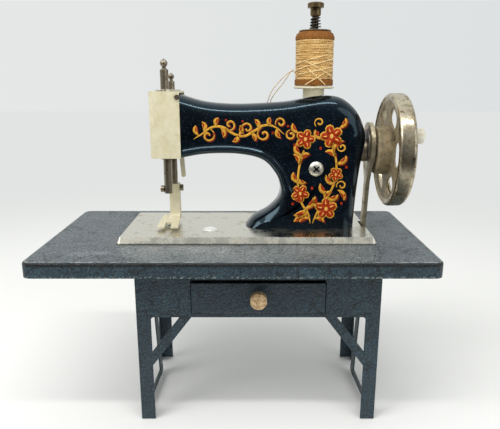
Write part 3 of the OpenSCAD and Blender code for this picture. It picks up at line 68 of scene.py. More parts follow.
# Loose thread. One end of the tan cotton has slipped off the spool: a limp double strand that runs
# down over the top of the arm, hangs behind it and comes back. Twisted cotton is matt and a little
# hairy.
LOOP_D = 0.5 * MM
LOOP_ROUTE = [
    (39.7, 6, 231.5), (37.5, 6.2, 231), (35.4, 6.8, 229.7), (32.2, 7.8, 226.8), (29.3, 9, 223.7),
    (27, 10, 220.9), (25, 11.2, 217.8), (23.6, 12.3, 214.6), (22.8, 13.6, 211.9),
    (22.4, 16, 210.8), (22.2, 18.8, 208.6), (22, 20.8, 205), (22, 21.2, 201), (22.4, 21.2, 197),
    (23.6, 21.2, 194.6), (25.2, 21.2, 194.6), (26.2, 21.2, 197), (26.2, 21.2, 201),
    (25.8, 20.8, 205), (25.2, 18.9, 208.8), (24.7, 16.2, 211), (24.8, 14, 212.3),
    (26.6, 12.4, 215.6), (29.6, 11, 219.6), (32.4, 9.8, 223), (35.4, 8.6, 227.4), (37, 8, 229.9),
    (38.4, 7.7, 231.6), (39.7, 7.6, 232.6),
]


def linear(hex_colour):
    """An sRGB hex colour as the linear RGBA that a shader socket takes."""
    parts = [int(hex_colour[i:i + 2], 16) / 255 for i in (1, 3, 5)]
    return [c / 12.92 if c <= 0.04045 else ((c + 0.055) / 1.055) ** 2.4 for c in parts] + [1.0]


def add(tree, kind, inputs=None, ramp=None, **settings):
    """One node: an input is a value or another node's output, a ramp is a list of its stops."""
    made = tree.nodes.new("ShaderNode" + kind)
    for key, value in settings.items():
        setattr(made, key, value)
    for key, value in (inputs or {}).items():
        if isinstance(value, bpy.types.NodeSocket):
            tree.links.new(value, made.inputs[key])
        else:
            made.inputs[key].default_value = value
    for index, (position, colour) in enumerate(ramp or []):
        stops = made.color_ramp.elements
        stop = stops[index] if index < 2 else stops.new(position)
        stop.position = position
        stop.color = linear(colour)
    return made


def new_material(name):
    """An empty material with its tree, shader and Object coordinates."""
    material = bpy.data.materials.new(name)
    material.use_nodes = True
    tree = material.node_tree
    tree.nodes.clear()
    shader = add(tree, "BsdfPrincipled")
    add(tree, "OutputMaterial", {"Surface": shader.outputs[0]})
    return material, tree, shader, add(tree, "TexCoord").outputs["Object"]


# Cotton thread: soft, almost without gloss, streaked along its turns and darker where dust has
# settled.
cotton, tree, shader, place = new_material("tan_cotton_thread")
lay = add(tree, "Mapping", {"Vector": place, "Scale": (0.2, 0.2, 1)})
shade = add(tree, "TexNoise", {"Vector": lay.outputs[0], "Scale": 1 / (1.1 * MM), "Detail": 5,
                               "Roughness": 0.65})
tint = add(tree, "ValToRGB", {"Fac": shade.outputs["Fac"]},
           ramp=[(0.26, "#94702f"), (0.74, "#e6c88c"), (0.48, "#c79e5c")])
tree.links.new(tint.outputs["Color"], shader.inputs["Base Color"])
fibre = add(tree, "TexNoise", {"Vector": place, "Scale": 1 / (0.3 * MM), "Detail": 2})
lift = add(tree, "Bump", {"Height": fibre.outputs["Fac"], "Strength": 0.5, "Distance": 0.12 * MM})
tree.links.new(lift.outputs["Normal"], shader.inputs["Normal"])
shader.inputs["Roughness"].default_value = 0.85
shader.inputs["Sheen Weight"].default_value = 0.2


def drawn(name, routes, diameter, corners, smooth, material):
    """Round lines as one mesh. A route lists its points in metres, each with its swelling."""
    data = bpy.data.curves.new(name, "CURVE")
    data.dimensions = "3D"
    data.bevel_depth = diameter / 2
    data.bevel_resolution = corners
    data.use_fill_caps = True
    data.resolution_u = smooth
    for route in routes:
        spline = data.splines.new("BEZIER")
        spline.bezier_points.add(len(route) - 1)
        for point, (at, swelling) in zip(spline.bezier_points, route):
            point.co = at
            point.radius = swelling
            point.handle_left_type = point.handle_right_type = "AUTO"
    data.materials.append(material)
    made = bpy.data.objects.new(name, data)
    bpy.context.scene.collection.objects.link(made)
    bpy.ops.object.select_all(action="DESELECT")
    made.select_set(True)
    bpy.context.view_layer.objects.active = made
    bpy.ops.object.convert(target="MESH")
    return bpy.context.object


def strand(name, routes, diameter, material, body, smooth):
    """Even strands along lists of points in metres, as one mesh that rides on a body."""
    even = [[(at, 1.0) for at in points] for points in routes]
    made = drawn(name, even, diameter, 2, smooth, material)
    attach(made, body)
    return made


def smooth_path(points, parts):
    """Points along a smooth line through the given ones, in a number of parts between two."""
    ends = [points[0]] + points + [points[-1]]
    path = []
    for a, b, c, d in zip(ends, ends[1:], ends[2:], ends[3:]):
        for k in range(parts):
            t = k / parts
            bend, twist = 2 * a - 5 * b + 4 * c - d, 3 * b - a - 3 * c + d
            path.append((2 * b + (c - a) * t + bend * t ** 2 + twist * t ** 3) / 2)
    return path + [points[-1]]


loop_path = smooth_path([Vector(p) * MM for p in LOOP_ROUTE], 4)
loop = strand("loose_thread", [loop_path], LOOP_D, cotton, "frame", 2)
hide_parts("thread_loop")


# Table. A pressed pan on folded sheet legs, all of thin steel with a stoved dark slate paint that
# wrinkled as it dried. Hands have rubbed the paint pale along the pan's rolled edge, which also
# carries a painted highlight, and chipped its lower rim.
SHARP_EDGE, SAME_POINT = math.radians(40), 0.001 * MM


def dress(name, material, edge=0.25):
    """Give a CAD node its material, even shading and finely broken edges of a width in mm."""
    piece = nodes[name]
    piece.data.materials.clear()
    piece.data.materials.append(material)
    piece.data.polygons.foreach_set("use_smooth", [True] * len(piece.data.polygons))
    weld = piece.modifiers.new("joined triangles", "WELD")
    weld.merge_threshold = SAME_POINT
    bevel = piece.modifiers.new("broken edges", "BEVEL")
    bevel.width = edge * MM
    bevel.segments = 2
    bevel.limit_method = "ANGLE"
    bevel.angle_limit = SHARP_EDGE
    even = piece.modifiers.new("even shading", "WEIGHTED_NORMAL")
    even.weight = 80


# Wrinkle paint: fine leathery folds with a satin gloss, with a few open cracks, bluish where it is
# thick.
pan_low, pan_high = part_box("table_top")
WARP, FOLD, GRIT, CRACK, PATCH = 4 * MM, 2.3 * MM, 0.7 * MM, 16 * MM, 24 * MM
wrinkle_paint, tree, shader, place = new_material("stoved_wrinkle_paint")
turned = add(tree, "SeparateXYZ", {0: place.node.outputs["Normal"]})
warp = add(tree, "TexNoise", {"Vector": place, "Scale": 1 / WARP, "Detail": 3})
bent = add(tree, "VectorMath", {0: warp.outputs["Color"], 1: (2.2 * MM,) * 3, 2: place},
           operation="MULTIPLY_ADD")
folds = add(tree, "TexVoronoi", {"Vector": bent.outputs[0], "Scale": 1 / FOLD},
            feature="DISTANCE_TO_EDGE")
ridge = add(tree, "MapRange", {"Value": folds.outputs["Distance"], "From Max": 0.2})
grit = add(tree, "TexNoise", {"Vector": place, "Scale": 1 / GRIT, "Detail": 3})
skin = add(tree, "Math", {0: grit.outputs["Fac"], 1: 0.7, 2: ridge.outputs[0]},
           operation="MULTIPLY_ADD")
wide = add(tree, "VectorMath", {0: warp.outputs["Color"], 1: (7 * MM,) * 3, 2: place},
           operation="MULTIPLY_ADD")
split = add(tree, "TexVoronoi", {"Vector": wide.outputs[0], "Scale": 1 / CRACK},
            feature="DISTANCE_TO_EDGE")
patch = add(tree, "TexNoise", {"Vector": place, "Scale": 1 / PATCH, "Detail": 5, "Roughness": 0.6})
split_part = add(tree, "MapRange", {"Value": patch.outputs["Fac"], "From Min": 0.5,
                                    "From Max": 0.55, "To Max": 0.038})
crack = add(tree, "Math", {0: split.outputs["Distance"], 1: split_part.outputs[0]},
            operation="LESS_THAN")
slate = add(tree, "ValToRGB", {"Fac": patch.outputs["Fac"]},
            ramp=[(0.3, "#172a34"), (0.72, "#2c4953"), (0.5, "#213a45")])
hue = add(tree, "TexNoise", {"Vector": place, "Scale": 1 / (3 * MM), "Detail": 4, "Roughness": 0.7})
tinge = add(tree, "MapRange", {"Value": hue.outputs["Fac"], "From Min": 0.5, "From Max": 0.72,
                               "To Max": 0.6})
paint = add(tree, "Mix", {"Factor": tinge.outputs[0], 6: slate.outputs["Color"],
                          7: linear("#2b2950")}, data_type="RGBA")
# A pale bloom lies on the flat top alone: dust and handling, and a painted sheen that lightens the
# top.
flat_dust_and_sheen = add(tree, "MapRange", {"Value": turned.outputs["Z"], "From Min": 0.985, "From Max": 0.999,
                              "To Max": 0.5})
paint = add(tree, "Mix", {"Factor": flat_dust_and_sheen.outputs[0], 6: paint.outputs[2], 7: linear("#868c8e")},
            data_type="RGBA")
# One worn patch near the front left corner, where the gloss is gone.
WORN_AT = (-88 * MM, -49 * MM, pan_high.z)
WORN_SCALE = (1 / (15 * MM), 1 / (6.5 * MM), 1 / (3 * MM))
off = add(tree, "VectorMath", {0: place, 1: WORN_AT}, operation="SUBTRACT")
spread = add(tree, "VectorMath", {0: off.outputs[0], 1: WORN_SCALE}, operation="MULTIPLY")
reach = add(tree, "VectorMath", {0: spread.outputs[0]}, operation="LENGTH")
ragged = add(tree, "Math", {0: warp.outputs["Fac"], 1: 0.7, 2: reach.outputs["Value"]},
             operation="MULTIPLY_ADD")
worn = add(tree, "MapRange", {"Value": ragged.outputs[0], "From Min": 1.2, "From Max": 1.35,
                              "To Min": 0.5, "To Max": 0.0})
paint = add(tree, "Mix", {"Factor": worn.outputs[0], 6: paint.outputs[2], 7: linear("#979da0")},
            data_type="RGBA")
# Painted shade darkens the creases between the folds, and painted highlight specks lighten the high
# grit.
crease_shade = add(tree, "MapRange", {"Value": folds.outputs["Distance"], "From Max": 0.2, "To Min": 0.85,
                                "To Max": 0.0})
paint = add(tree, "Mix", {"Factor": crease_shade.outputs[0], 6: paint.outputs[2], 7: linear("#0c1519")},
            data_type="RGBA")
glint = add(tree, "MapRange", {"Value": grit.outputs["Fac"], "From Min": 0.55, "From Max": 0.7,
                               "To Max": 0.6})
paint = add(tree, "Mix", {"Factor": glint.outputs[0], 6: paint.outputs[2], 7: linear("#506a72")},
            data_type="RGBA")
opened = add(tree, "Math", {0: crack.outputs[0], 1: 0.7}, operation="MULTIPLY")
paint = add(tree, "Mix", {"Factor": opened.outputs[0], 6: paint.outputs[2], 7: linear("#10171b")},
            data_type="RGBA")
# The pan's rolled edge, told by how far its surface tips: painted shade darkens the roll, and where
# it meets the top it is rubbed pale, with a painted highlight along that rubbed band.
shaded = add(tree, "ValToRGB", {"Fac": turned.outputs["Z"]},
             ramp=[(0.04, "#000000"), (0.86, "#000000"), (0.14, "#e8e8e8"), (0.76, "#e8e8e8")])
paint = add(tree, "Mix", {"Factor": shaded.outputs["Color"], 6: paint.outputs[2],
                          7: linear("#0b1013")}, data_type="RGBA")
rub_and_highlight_band = add(tree, "ValToRGB", {"Fac": turned.outputs["Z"]},
             ramp=[(0.86, "#000000"), (0.998, "#000000"), (0.91, "#ffffff"), (0.985, "#ffffff")])
scuff = add(tree, "TexNoise", {"Vector": place, "Scale": 1 / (3.5 * MM), "Detail": 5,
                               "Roughness": 0.7})
scuffed = add(tree, "MapRange", {"Value": scuff.outputs["Fac"], "From Min": 0.36, "From Max": 0.56,
                                 "To Max": 0.9})
rub_and_highlight = add(tree, "Math", {0: rub_and_highlight_band.outputs["Color"], 1: scuffed.outputs[0]}, operation="MULTIPLY")
paint = add(tree, "Mix", {"Factor": rub_and_highlight.outputs[0], 6: paint.outputs[2], 7: linear("#9ea19c")},
            data_type="RGBA")
# A painted shadow line runs just under that edge, and paint has flaked off along the pan's lower
# rim.
ROLL_DEPTH, RIM_FROM, RIM_TO = 4 * MM, -0.1 * MM, 1.9 * MM
height = add(tree, "SeparateXYZ", {0: place})
roll = add(tree, "MapRange", {"Value": height.outputs["Z"], "From Min": pan_high.z - ROLL_DEPTH,
                              "From Max": pan_high.z})
roll_shadow_line = add(tree, "ValToRGB", {"Fac": roll.outputs[0]},
                ramp=[(0.22, "#000000"), (0.84, "#000000"), (0.4, "#f0f0f0"), (0.72, "#f0f0f0")])
paint = add(tree, "Mix", {"Factor": roll_shadow_line.outputs["Color"], 6: paint.outputs[2],
                          7: linear("#070b0d")}, data_type="RGBA")
rim = add(tree, "MapRange", {"Value": height.outputs["Z"], "From Min": pan_low.z + RIM_FROM,
                             "From Max": pan_low.z + RIM_TO})
rim_band = add(tree, "ValToRGB", {"Fac": rim.outputs[0]},
               ramp=[(0.0, "#000000"), (1.0, "#000000"), (0.04, "#ffffff"), (0.55, "#cccccc")])
flake = add(tree, "TexNoise", {"Vector": place, "Scale": 1 / (1.1 * MM), "Detail": 3})
flaked = add(tree, "MapRange", {"Value": flake.outputs["Fac"], "From Min": 0.52, "From Max": 0.6})
chip = add(tree, "Math", {0: rim_band.outputs["Color"], 1: flaked.outputs[0]}, operation="MULTIPLY")
paint = add(tree, "Mix", {"Factor": chip.outputs[0], 6: paint.outputs[2], 7: linear("#76827f")},
            data_type="RGBA")
tree.links.new(paint.outputs[2], shader.inputs["Base Color"])
lift = add(tree, "Bump", {"Height": skin.outputs[0], "Strength": 0.8, "Distance": 0.3 * MM})
open_crack = add(tree, "Bump", {"Height": crack.outputs[0], "Strength": 0.5, "Distance": 0.2 * MM,
                                "Normal": lift.outputs["Normal"]}, invert=True)
tree.links.new(open_crack.outputs["Normal"], shader.inputs["Normal"])
gloss = add(tree, "MapRange", {"Value": patch.outputs["Fac"], "From Min": 0.3, "From Max": 0.7,
                               "To Min": 0.32, "To Max": 0.48})
tree.links.new(gloss.outputs[0], shader.inputs["Roughness"])

for name in ("table_top", "front_leg_panel", "rear_leg_panel", "left_end_panel", "right_end_panel",
             "drawer_runners", "drawer_tray", "drawer_front"):
    dress(name, wrinkle_paint)


# Drawer knob. A small mushroom knob turned from pale close-grained wood and held by a screw from
# inside the drawer. It is waxed, and darker where its grain is open.
turned_wood, tree, shader, place = new_material("waxed_turned_beech")
along = add(tree, "Mapping", {"Vector": place, "Scale": (1, 0.12, 1)})
grain = add(tree, "TexNoise", {"Vector": along.outputs[0], "Scale": 1 / (1.2 * MM), "Detail": 6})
tone = add(tree, "ValToRGB", {"Fac": grain.outputs["Fac"]},
           ramp=[(0.35, "#8d6c45"), (0.68, "#d2b78c")])
tree.links.new(tone.outputs["Color"], shader.inputs["Base Color"])
shader.inputs["Roughness"].default_value = 0.42
dress("drawer_knob", turned_wood, 0.5)


# Base plate and bright fittings. Pressed steel, nickel plated long ago: a warm grey mirror gone
# hazy, with brown stains where the plating has thinned and fine scratches along its length.
def nickel_plate(name, clean, stain, haze, stain_from, blot_size=9):
    """Worn nickel: two colours mixed by patches of a size in millimetres, hazier where stained."""
    material, tree, shader, place = new_material(name)
    blot = add(tree, "TexNoise", {"Vector": place, "Scale": 1 / (blot_size * MM), "Detail": 4,
                                  "Roughness": 0.6})
    share = add(tree, "MapRange", {"Value": blot.outputs["Fac"], "From Min": stain_from,
                                   "From Max": stain_from + 0.2})
    colour = add(tree, "Mix", {"Factor": share.outputs[0], 6: linear(clean), 7: linear(stain)},
                 data_type="RGBA")
    tree.links.new(colour.outputs[2], shader.inputs["Base Color"])
    shader.inputs["Metallic"].default_value = 1.0
    rough = add(tree, "MapRange", {"Value": blot.outputs["Fac"], "From Min": 0.3, "From Max": 0.75,
                                   "To Min": haze, "To Max": haze + 0.25})
    tree.links.new(rough.outputs[0], shader.inputs["Roughness"])
    rolled = add(tree, "Mapping", {"Vector": place, "Scale": (0.06, 1, 1)})
    lines = add(tree, "TexNoise", {"Vector": rolled.outputs[0], "Scale": 1 / (0.5 * MM),
                                   "Detail": 3})
    lift = add(tree, "Bump", {"Height": lines.outputs["Fac"], "Strength": 0.05,
                              "Distance": 0.05 * MM})
    tree.links.new(lift.outputs["Normal"], shader.inputs["Normal"])
    return material


def surface_of(material):
    """A material's tree, shader, colour so far and Object coordinates, to lay dirt, rust and
    painted shade over it.
    """
    tree = material.node_tree
    shader = tree.nodes["Principled BSDF"]
    colour = shader.inputs["Base Color"].links[0].from_socket
    return tree, shader, colour, tree.nodes["Texture Coordinate"].outputs["Object"]


bright_nickel = nickel_plate("worn_nickel_plate", "#d6d3c6", "#a3967c", 0.17, 0.56)
dress("base_plate", bright_nickel)
# The button rivet is polished bright by use, ringed dark, and a painted shadow lines the plate's
# foot.
rivet_low, rivet_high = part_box("plate_rivet")
button = (rivet_low + rivet_high) / 2
BUTTON_R = (rivet_high.x - rivet_low.x) / 2
PLATE_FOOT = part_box("base_plate")[0].z
DIRT_AND_SHADE = "#2b261e"
tree, shader, plated, place = surface_of(bright_nickel)
centred = add(tree, "VectorMath", {0: place, 1: button}, operation="SUBTRACT")
reach = add(tree, "VectorMath", {0: centred.outputs[0]}, operation="LENGTH")
ring = add(tree, "MapRange", {"Value": reach.outputs["Value"], "From Min": BUTTON_R + 0.2 * MM,
                              "From Max": BUTTON_R + 0.9 * MM, "To Min": 0.9, "To Max": 0.0})
ringed = add(tree, "Mix", {"Factor": ring.outputs[0], 6: plated, 7: linear(DIRT_AND_SHADE)}, data_type="RGBA")
height = add(tree, "SeparateXYZ", {0: place})
line = add(tree, "MapRange", {"Value": height.outputs["Z"], "From Min": PLATE_FOOT + 0.4 * MM,
                              "From Max": PLATE_FOOT + 0.9 * MM, "To Min": 0.85, "To Max": 0.0})
above = add(tree, "Math", {0: height.outputs["Z"], 1: PLATE_FOOT - 0.1 * MM},
            operation="GREATER_THAN")
foot_shadow = add(tree, "Math", {0: line.outputs[0], 1: above.outputs[0]}, operation="MULTIPLY")
foot_shadowed = add(tree, "Mix", {"Factor": foot_shadow.outputs[0], 6: ringed.outputs[2], 7: linear(DIRT_AND_SHADE)},
            data_type="RGBA")
tree.links.new(foot_shadowed.outputs[2], shader.inputs["Base Color"])
dress("plate_rivet", nickel_plate("polished_nickel", "#fbfaf6", "#ece8dc", 0.4, 0.62), 0.15)
for name in ("body_nut", "bar_guide_plate"):
    dress(name, bright_nickel, 0.15)

# The column screw's cross recess is darkened, told by its depth behind the crown of the head.
screw_low, screw_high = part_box("body_screw")
crown = Vector(((screw_low.x + screw_high.x) / 2, screw_low.y, (screw_low.z + screw_high.z) / 2))
RECESS_R, RECESS_FROM, RECESS_TO = 2.9 * MM, 0.75 * MM, 1.1 * MM
screw_nickel = nickel_plate("nickel_screw_dark_recess", "#d3d0c4", "#9c917d", 0.26, 0.58)
tree, shader, plated, place = surface_of(screw_nickel)
sunk = add(tree, "VectorMath", {0: place, 1: crown}, operation="SUBTRACT")
depth = add(tree, "SeparateXYZ", {0: sunk.outputs[0]})
across = add(tree, "VectorMath", {0: sunk.outputs[0], 1: (1, 0, 1)}, operation="MULTIPLY")
reach = add(tree, "VectorMath", {0: across.outputs[0]}, operation="LENGTH")
near = add(tree, "Math", {0: reach.outputs["Value"], 1: RECESS_R}, operation="LESS_THAN")
deep = add(tree, "MapRange", {"Value": depth.outputs["Y"], "From Min": RECESS_FROM,
                              "From Max": RECESS_TO})
recess_darkening = add(tree, "Math", {0: near.outputs[0], 1: deep.outputs[0]}, operation="MULTIPLY")
recess_darkened = add(tree, "Mix", {"Factor": recess_darkening.outputs[0], 6: plated, 7: linear("#15120e")},
            data_type="RGBA")
tree.links.new(recess_darkened.outputs[2], shader.inputs["Base Color"])
dress("body_screw", screw_nickel, 0.15)


# Head casing. Two pressings that meet along the middle of the arm, stoved in a deep blue-black
# gloss enamel. It is smooth as glass with a faint orange peel, a blue cast in its gloss, and tiny
# pale specks where the gloss has lifted.
enamel, tree, shader, place = new_material("blue_black_gloss_enamel")
cloud = add(tree, "TexNoise", {"Vector": place, "Scale": 1 / (12 * MM), "Detail": 5})
deep = add(tree, "ValToRGB", {"Fac": cloud.outputs["Fac"]},
           ramp=[(0.32, "#020306"), (0.7, "#070e18")])
fleck = add(tree, "TexVoronoi", {"Vector": place, "Scale": 1 / (1.5 * MM)})
pale = add(tree, "MapRange", {"Value": fleck.outputs["Distance"], "From Min": 0.09,
                              "From Max": 0.19, "To Min": 0.6, "To Max": 0.0})
mixed = add(tree, "Mix", {"Factor": pale.outputs[0], 6: deep.outputs["Color"],
                          7: linear("#46586a")}, data_type="RGBA")
tree.links.new(mixed.outputs[2], shader.inputs["Base Color"])
peel = add(tree, "TexNoise", {"Vector": place, "Scale": 1 / (2.5 * MM), "Detail": 2})
lift = add(tree, "Bump", {"Height": peel.outputs["Fac"], "Strength": 0.06, "Distance": 0.1 * MM})
tree.links.new(lift.outputs["Normal"], shader.inputs["Normal"])
shader.inputs["Roughness"].default_value = 0.15
shader.inputs["Specular IOR Level"].default_value = 0.68
shader.inputs["Specular Tint"].default_value = linear("#aed0e0")
for name in ("body_front_shell", "body_rear_shell"):
    dress(name, enamel, 0.2)


# Painted ornament. A common cottage flower scroll brushed on the front casing in gold and
# vermilion: a vine with tendrils along the arm and a spray of five-petalled flowers up the column,
# each mark one brush stroke.
FACE_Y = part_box("body_front_shell")[0].y
LEAF = (0.12, 0.7, 1.0, 0.8, 0.1)
PETAL = (0.4, 0.85, 1.0, 0.95, 0.45)
COMMA = (0.9, 1.0, 0.75, 0.4, 0.08)
DOT = (0.5, 0.92, 1.0, 0.92, 0.5)
shadows, scrolls, petals, lights = [], [], [], []


def brush(layer, start, end, width, bow=0.0, swell=LEAF):
    """One brush mark across the face, in mm, with its width, sideways bow and swelling."""
    a, b = Vector(start), Vector(end)
    side = Vector((a.y - b.y, b.x - a.x))
    marks = []
    for k, part in enumerate(swell):
        t = k / (len(swell) - 1)
        at = a.lerp(b, t) + side * bow * 4 * t * (1 - t)
        marks.append((at.x, at.y, width * part))
    layer.append(marks)


def tendril(layer, centre, start, turn, wide, narrow, width):
    """A brush line that curls in about a centre: angles in degrees, radii and width in mm."""
    steps = 10
    marks = []
    for k in range(steps + 1):
        t = k / steps
        angle, reach = math.radians(start + turn * t), wide + (narrow - wide) * t
        marks.append((centre[0] + reach * math.cos(angle), centre[1] + reach * math.sin(angle),
                      width * (0.35 + 1.3 * t * (1 - t) + 0.3 * t)))
    layer.append(marks)


def flower(centre, reach, turn):
    """A five-petalled flower: gold edges, vermilion petals with a light streak, a gold heart."""
    at = Vector(centre)
    for k in range(5):
        angle = math.radians(turn + 72 * k)
        out = Vector((math.cos(angle), math.sin(angle)))
        brush(scrolls, at + out * reach * 0.1, at + out * reach * 1.04, reach * 0.94, swell=PETAL)
        brush(petals, at + out * reach * 0.18, at + out * reach * 0.92, reach * 0.74, swell=PETAL)
        brush(lights, at + out * reach * 0.42, at + out * reach * 0.84, reach * 0.13, bow=0.12,
              swell=COMMA)
    half = Vector((0, reach * 0.2))
    brush(lights, at - half, at + half, reach * 0.38, swell=DOT)


# The vine along the arm, its tendrils to both sides and the small leaves between them.
scrolls.append([
    (-27, 187.6, 0.5), (-22, 190.6, 1.3), (-15, 195.2, 1.8), (-8, 195.4, 1.9), (-1, 191.2, 1.9),
    (6, 189.4, 1.9), (13, 192.8, 1.9), (20, 196.6, 1.8), (27, 195.4, 1.4), (33, 190.6, 0.5),
])
ARM_TENDRILS = [
    ((-17.5, 189.8), 70, -430, 4.6), ((-3, 196.9), 215, 420, 4.0), ((8.5, 194.6), 235, -400, 4.4),
    ((19.5, 190.6), 110, 420, 4.8), ((30.5, 198.2), 200, -390, 3.6), ((37.6, 190.2), 100, 400, 3.6),
]
ARM_LEAVES = [
    ((-24, 190), (-25.5, 196.5), 0.2), ((-20.5, 192.5), (-21.5, 199), -0.2),
    ((-12, 196), (-10.5, 201.5), 0.2), ((-9, 194.8), (-7.5, 188.6), 0.2),
    ((2.5, 190.2), (-1.5, 185.8), 0.2), ((3, 190.4), (3.6, 196.6), -0.2),
    ((11, 191.4), (13.5, 186.2), 0.2), ((15.5, 194.6), (13.4, 200.4), -0.2),
    ((24, 196.4), (23.6, 201.8), 0.2), ((28.5, 194.6), (30.6, 188.2), -0.2),
]
ARM_DOTS = [(-13.6, 191), (-5.6, 199.9), (5.4, 199.2), (25.4, 191.6), (35.5, 196)]
ARM_LEAF = 3.6
for centre, start, turn, wide in ARM_TENDRILS:
    tendril(scrolls, centre, start, turn, wide, 0.8, 1.8)
    tendril(shadows, (centre[0] + 0.7, centre[1] - 0.7), start, turn, wide, 0.8, 1.6)
for start, end, bow in ARM_LEAVES:
    root, tip = Vector(start), Vector(end)
    brush(scrolls, root, tip, ARM_LEAF, bow)
    brush(shadows, root + Vector((0.6, -0.5)), tip + Vector((0.9, -0.7)), ARM_LEAF, bow)
    brush(petals, root.lerp(tip, 0.35), root.lerp(tip, 0.9), 1.3, bow)
for at in ARM_DOTS:
    brush(petals, (at[0], at[1] - 0.8), (at[0], at[1] + 0.8), 1.7, swell=DOT)

# The spray on the column: two stems that pass the screw on either side, with flowers, buds and
# leaves.
scrolls.append([
    (52, 129.5, 0.6), (50.5, 136, 1.6), (45.6, 144, 1.8), (43, 156, 1.7), (43.4, 168, 1.6),
    (46.4, 180, 1.3),
])
scrolls.append([
    (53.5, 129.5, 0.6), (56.5, 137, 1.6), (63.8, 149, 1.8), (68, 160, 1.7), (68.4, 172, 1.6),
    (65, 184, 1.3),
])
COLUMN_FLOWERS = [
    ((62.6, 139.8), 7.4, 20), ((44.6, 150.4), 6.0, 60), ((64.6, 189.4), 7.4, 35),
    ((47.2, 187.4), 6.4, 0), ((68.4, 163.6), 4.8, 50),
]
COLUMN_LEAVES = [
    ((50, 137), (42.2, 136.2), 0.2, 3.4), ((48, 140), (53.6, 147.6), -0.2, 3.2),
    ((43, 158), (39.8, 165.4), 0.2, 3.0), ((43, 161), (48.4, 158.4), -0.25, 2.8),
    ((43.4, 170), (39.4, 177.4), -0.2, 3.2), ((44, 173), (50.2, 177.6), 0.2, 3.2),
    ((58, 139.8), (55, 148.6), 0.2, 3.0), ((62, 147), (70.6, 149.8), -0.2, 3.4),
    ((64, 150), (58, 157.6), 0.2, 3.2), ((68.4, 171), (75, 176.4), -0.2, 3.2),
    ((68, 175), (60.6, 179.2), -0.2, 3.2), ((55, 133), (61.4, 130.2), 0.2, 2.8),
    ((51, 133), (44.4, 130.4), -0.2, 2.8), ((57.8, 187.6), (53.6, 193.8), 0.2, 2.8),
    ((69.6, 194.8), (73.4, 201.4), -0.2, 2.8), ((42.4, 191.6), (38.6, 198), 0.2, 2.8),
    ((70, 153), (74.6, 145.6), 0.2, 3.0), ((66, 152), (61.4, 146.8), -0.2, 2.8),
    ((45, 176), (41, 184.6), 0.2, 3.0), ((66.4, 180), (72.8, 186.4), 0.2, 3.0),
    ((46, 143.6), (39.6, 146.4), -0.2, 2.8), ((67.8, 157), (61.8, 163.4), 0.2, 2.8),
    ((50, 139.6), (40.4, 135), 0.08, 3.4), ((48.6, 134.6), (40.6, 130.6), -0.1, 2.8),
]
COLUMN_TENDRILS = [
    ((72.6, 156), 200, -400, 3.6), ((56.2, 198.4), 230, -400, 3.4), ((71.8, 182), 160, 400, 3.2),
]
COLUMN_DOTS = [
    (39.6, 143.2), (52.6, 154.2), (73, 143.6), (57.6, 181.4), (55.4, 191.6), (75.4, 168.6),
    (40.2, 183.6),
]
for centre, reach, turn in COLUMN_FLOWERS:
    flower(centre, reach, turn)
for start, end, bow, width in COLUMN_LEAVES:
    root, tip = Vector(start), Vector(end)
    brush(scrolls, root, tip, width * 1.3, bow)
    brush(shadows, root + Vector((0.6, -0.6)), tip + Vector((1.0, -0.7)), width * 1.3, bow)
    brush(petals, root.lerp(tip, 0.3), root.lerp(tip, 0.85), width * 0.55, bow)
for centre, start, turn, wide in COLUMN_TENDRILS:
    tendril(scrolls, centre, start, turn, wide, 0.7, 1.6)
for at in COLUMN_DOTS:
    brush(petals, (at[0], at[1] - 1), (at[0], at[1] + 1), 2.1, swell=DOT)


# A mark is drawn as a round line 1 mm thick that swells to its width, its back set a little into
# the enamel.
MARK, IN_FRONT, KEYED_IN = 1 * MM, 5 * MM, 0.02 * MM


def painted(name, strokes, paint, rise):
    """Brush marks as one thin coat, pressed on the casing's skin at a height in mm above it."""
    routes = [[((x * MM, 0, z * MM), width) for x, z, width in marks] for marks in strokes]
    coat = drawn(name, routes, MARK, 1, 5, paint)
    shell = nodes["body_front_shell"]
    for corner in coat.data.vertices:
        met, at, _, _ = shell.ray_cast((corner.co.x, FACE_Y - IN_FRONT, corner.co.z), (0, 1, 0))
        skin = at.y if met else FACE_Y
        corner.co.y = skin - rise * MM if corner.co.y < -SAME_POINT else skin + KEYED_IN
    bpy.ops.object.mode_set(mode="EDIT")
    bpy.ops.mesh.select_all(action="SELECT")
    bpy.ops.mesh.normals_make_consistent(inside=False)
    bpy.ops.object.mode_set(mode="OBJECT")
    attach(coat, "frame")


def brushed_paint(name, dark, light):
    """Oil paint laid with a brush: streaky, thin in places, with a soft gloss."""
    material, tree, shader, place = new_material(name)
    streak = add(tree, "TexNoise", {"Vector": place, "Scale": 1 / (1.6 * MM), "Detail": 5,
                                    "Roughness": 0.7})
    tone = add(tree, "ValToRGB", {"Fac": streak.outputs["Fac"]}, ramp=[(0.32, dark), (0.66, light)])
    tree.links.new(tone.outputs["Color"], shader.inputs["Base Color"])
    shader.inputs["Roughness"].default_value = 0.45
    shader.inputs["Specular IOR Level"].default_value = 0.14
    return material


painted("ornament_shadow", shadows, brushed_paint("dark_red_oil_paint", "#4a0d08", "#8e2413"), 0.03)
painted("ornament_gold", scrolls, brushed_paint("gold_oil_paint", "#a5731f", "#dda53a"), 0.05)
painted("ornament_red", petals, brushed_paint("vermilion_oil_paint", "#7e1d02", "#ab3003"), 0.07)
painted("ornament_light", lights, brushed_paint("pale_gold_oil_paint", "#c9822f", "#ecc26c"), 0.09)


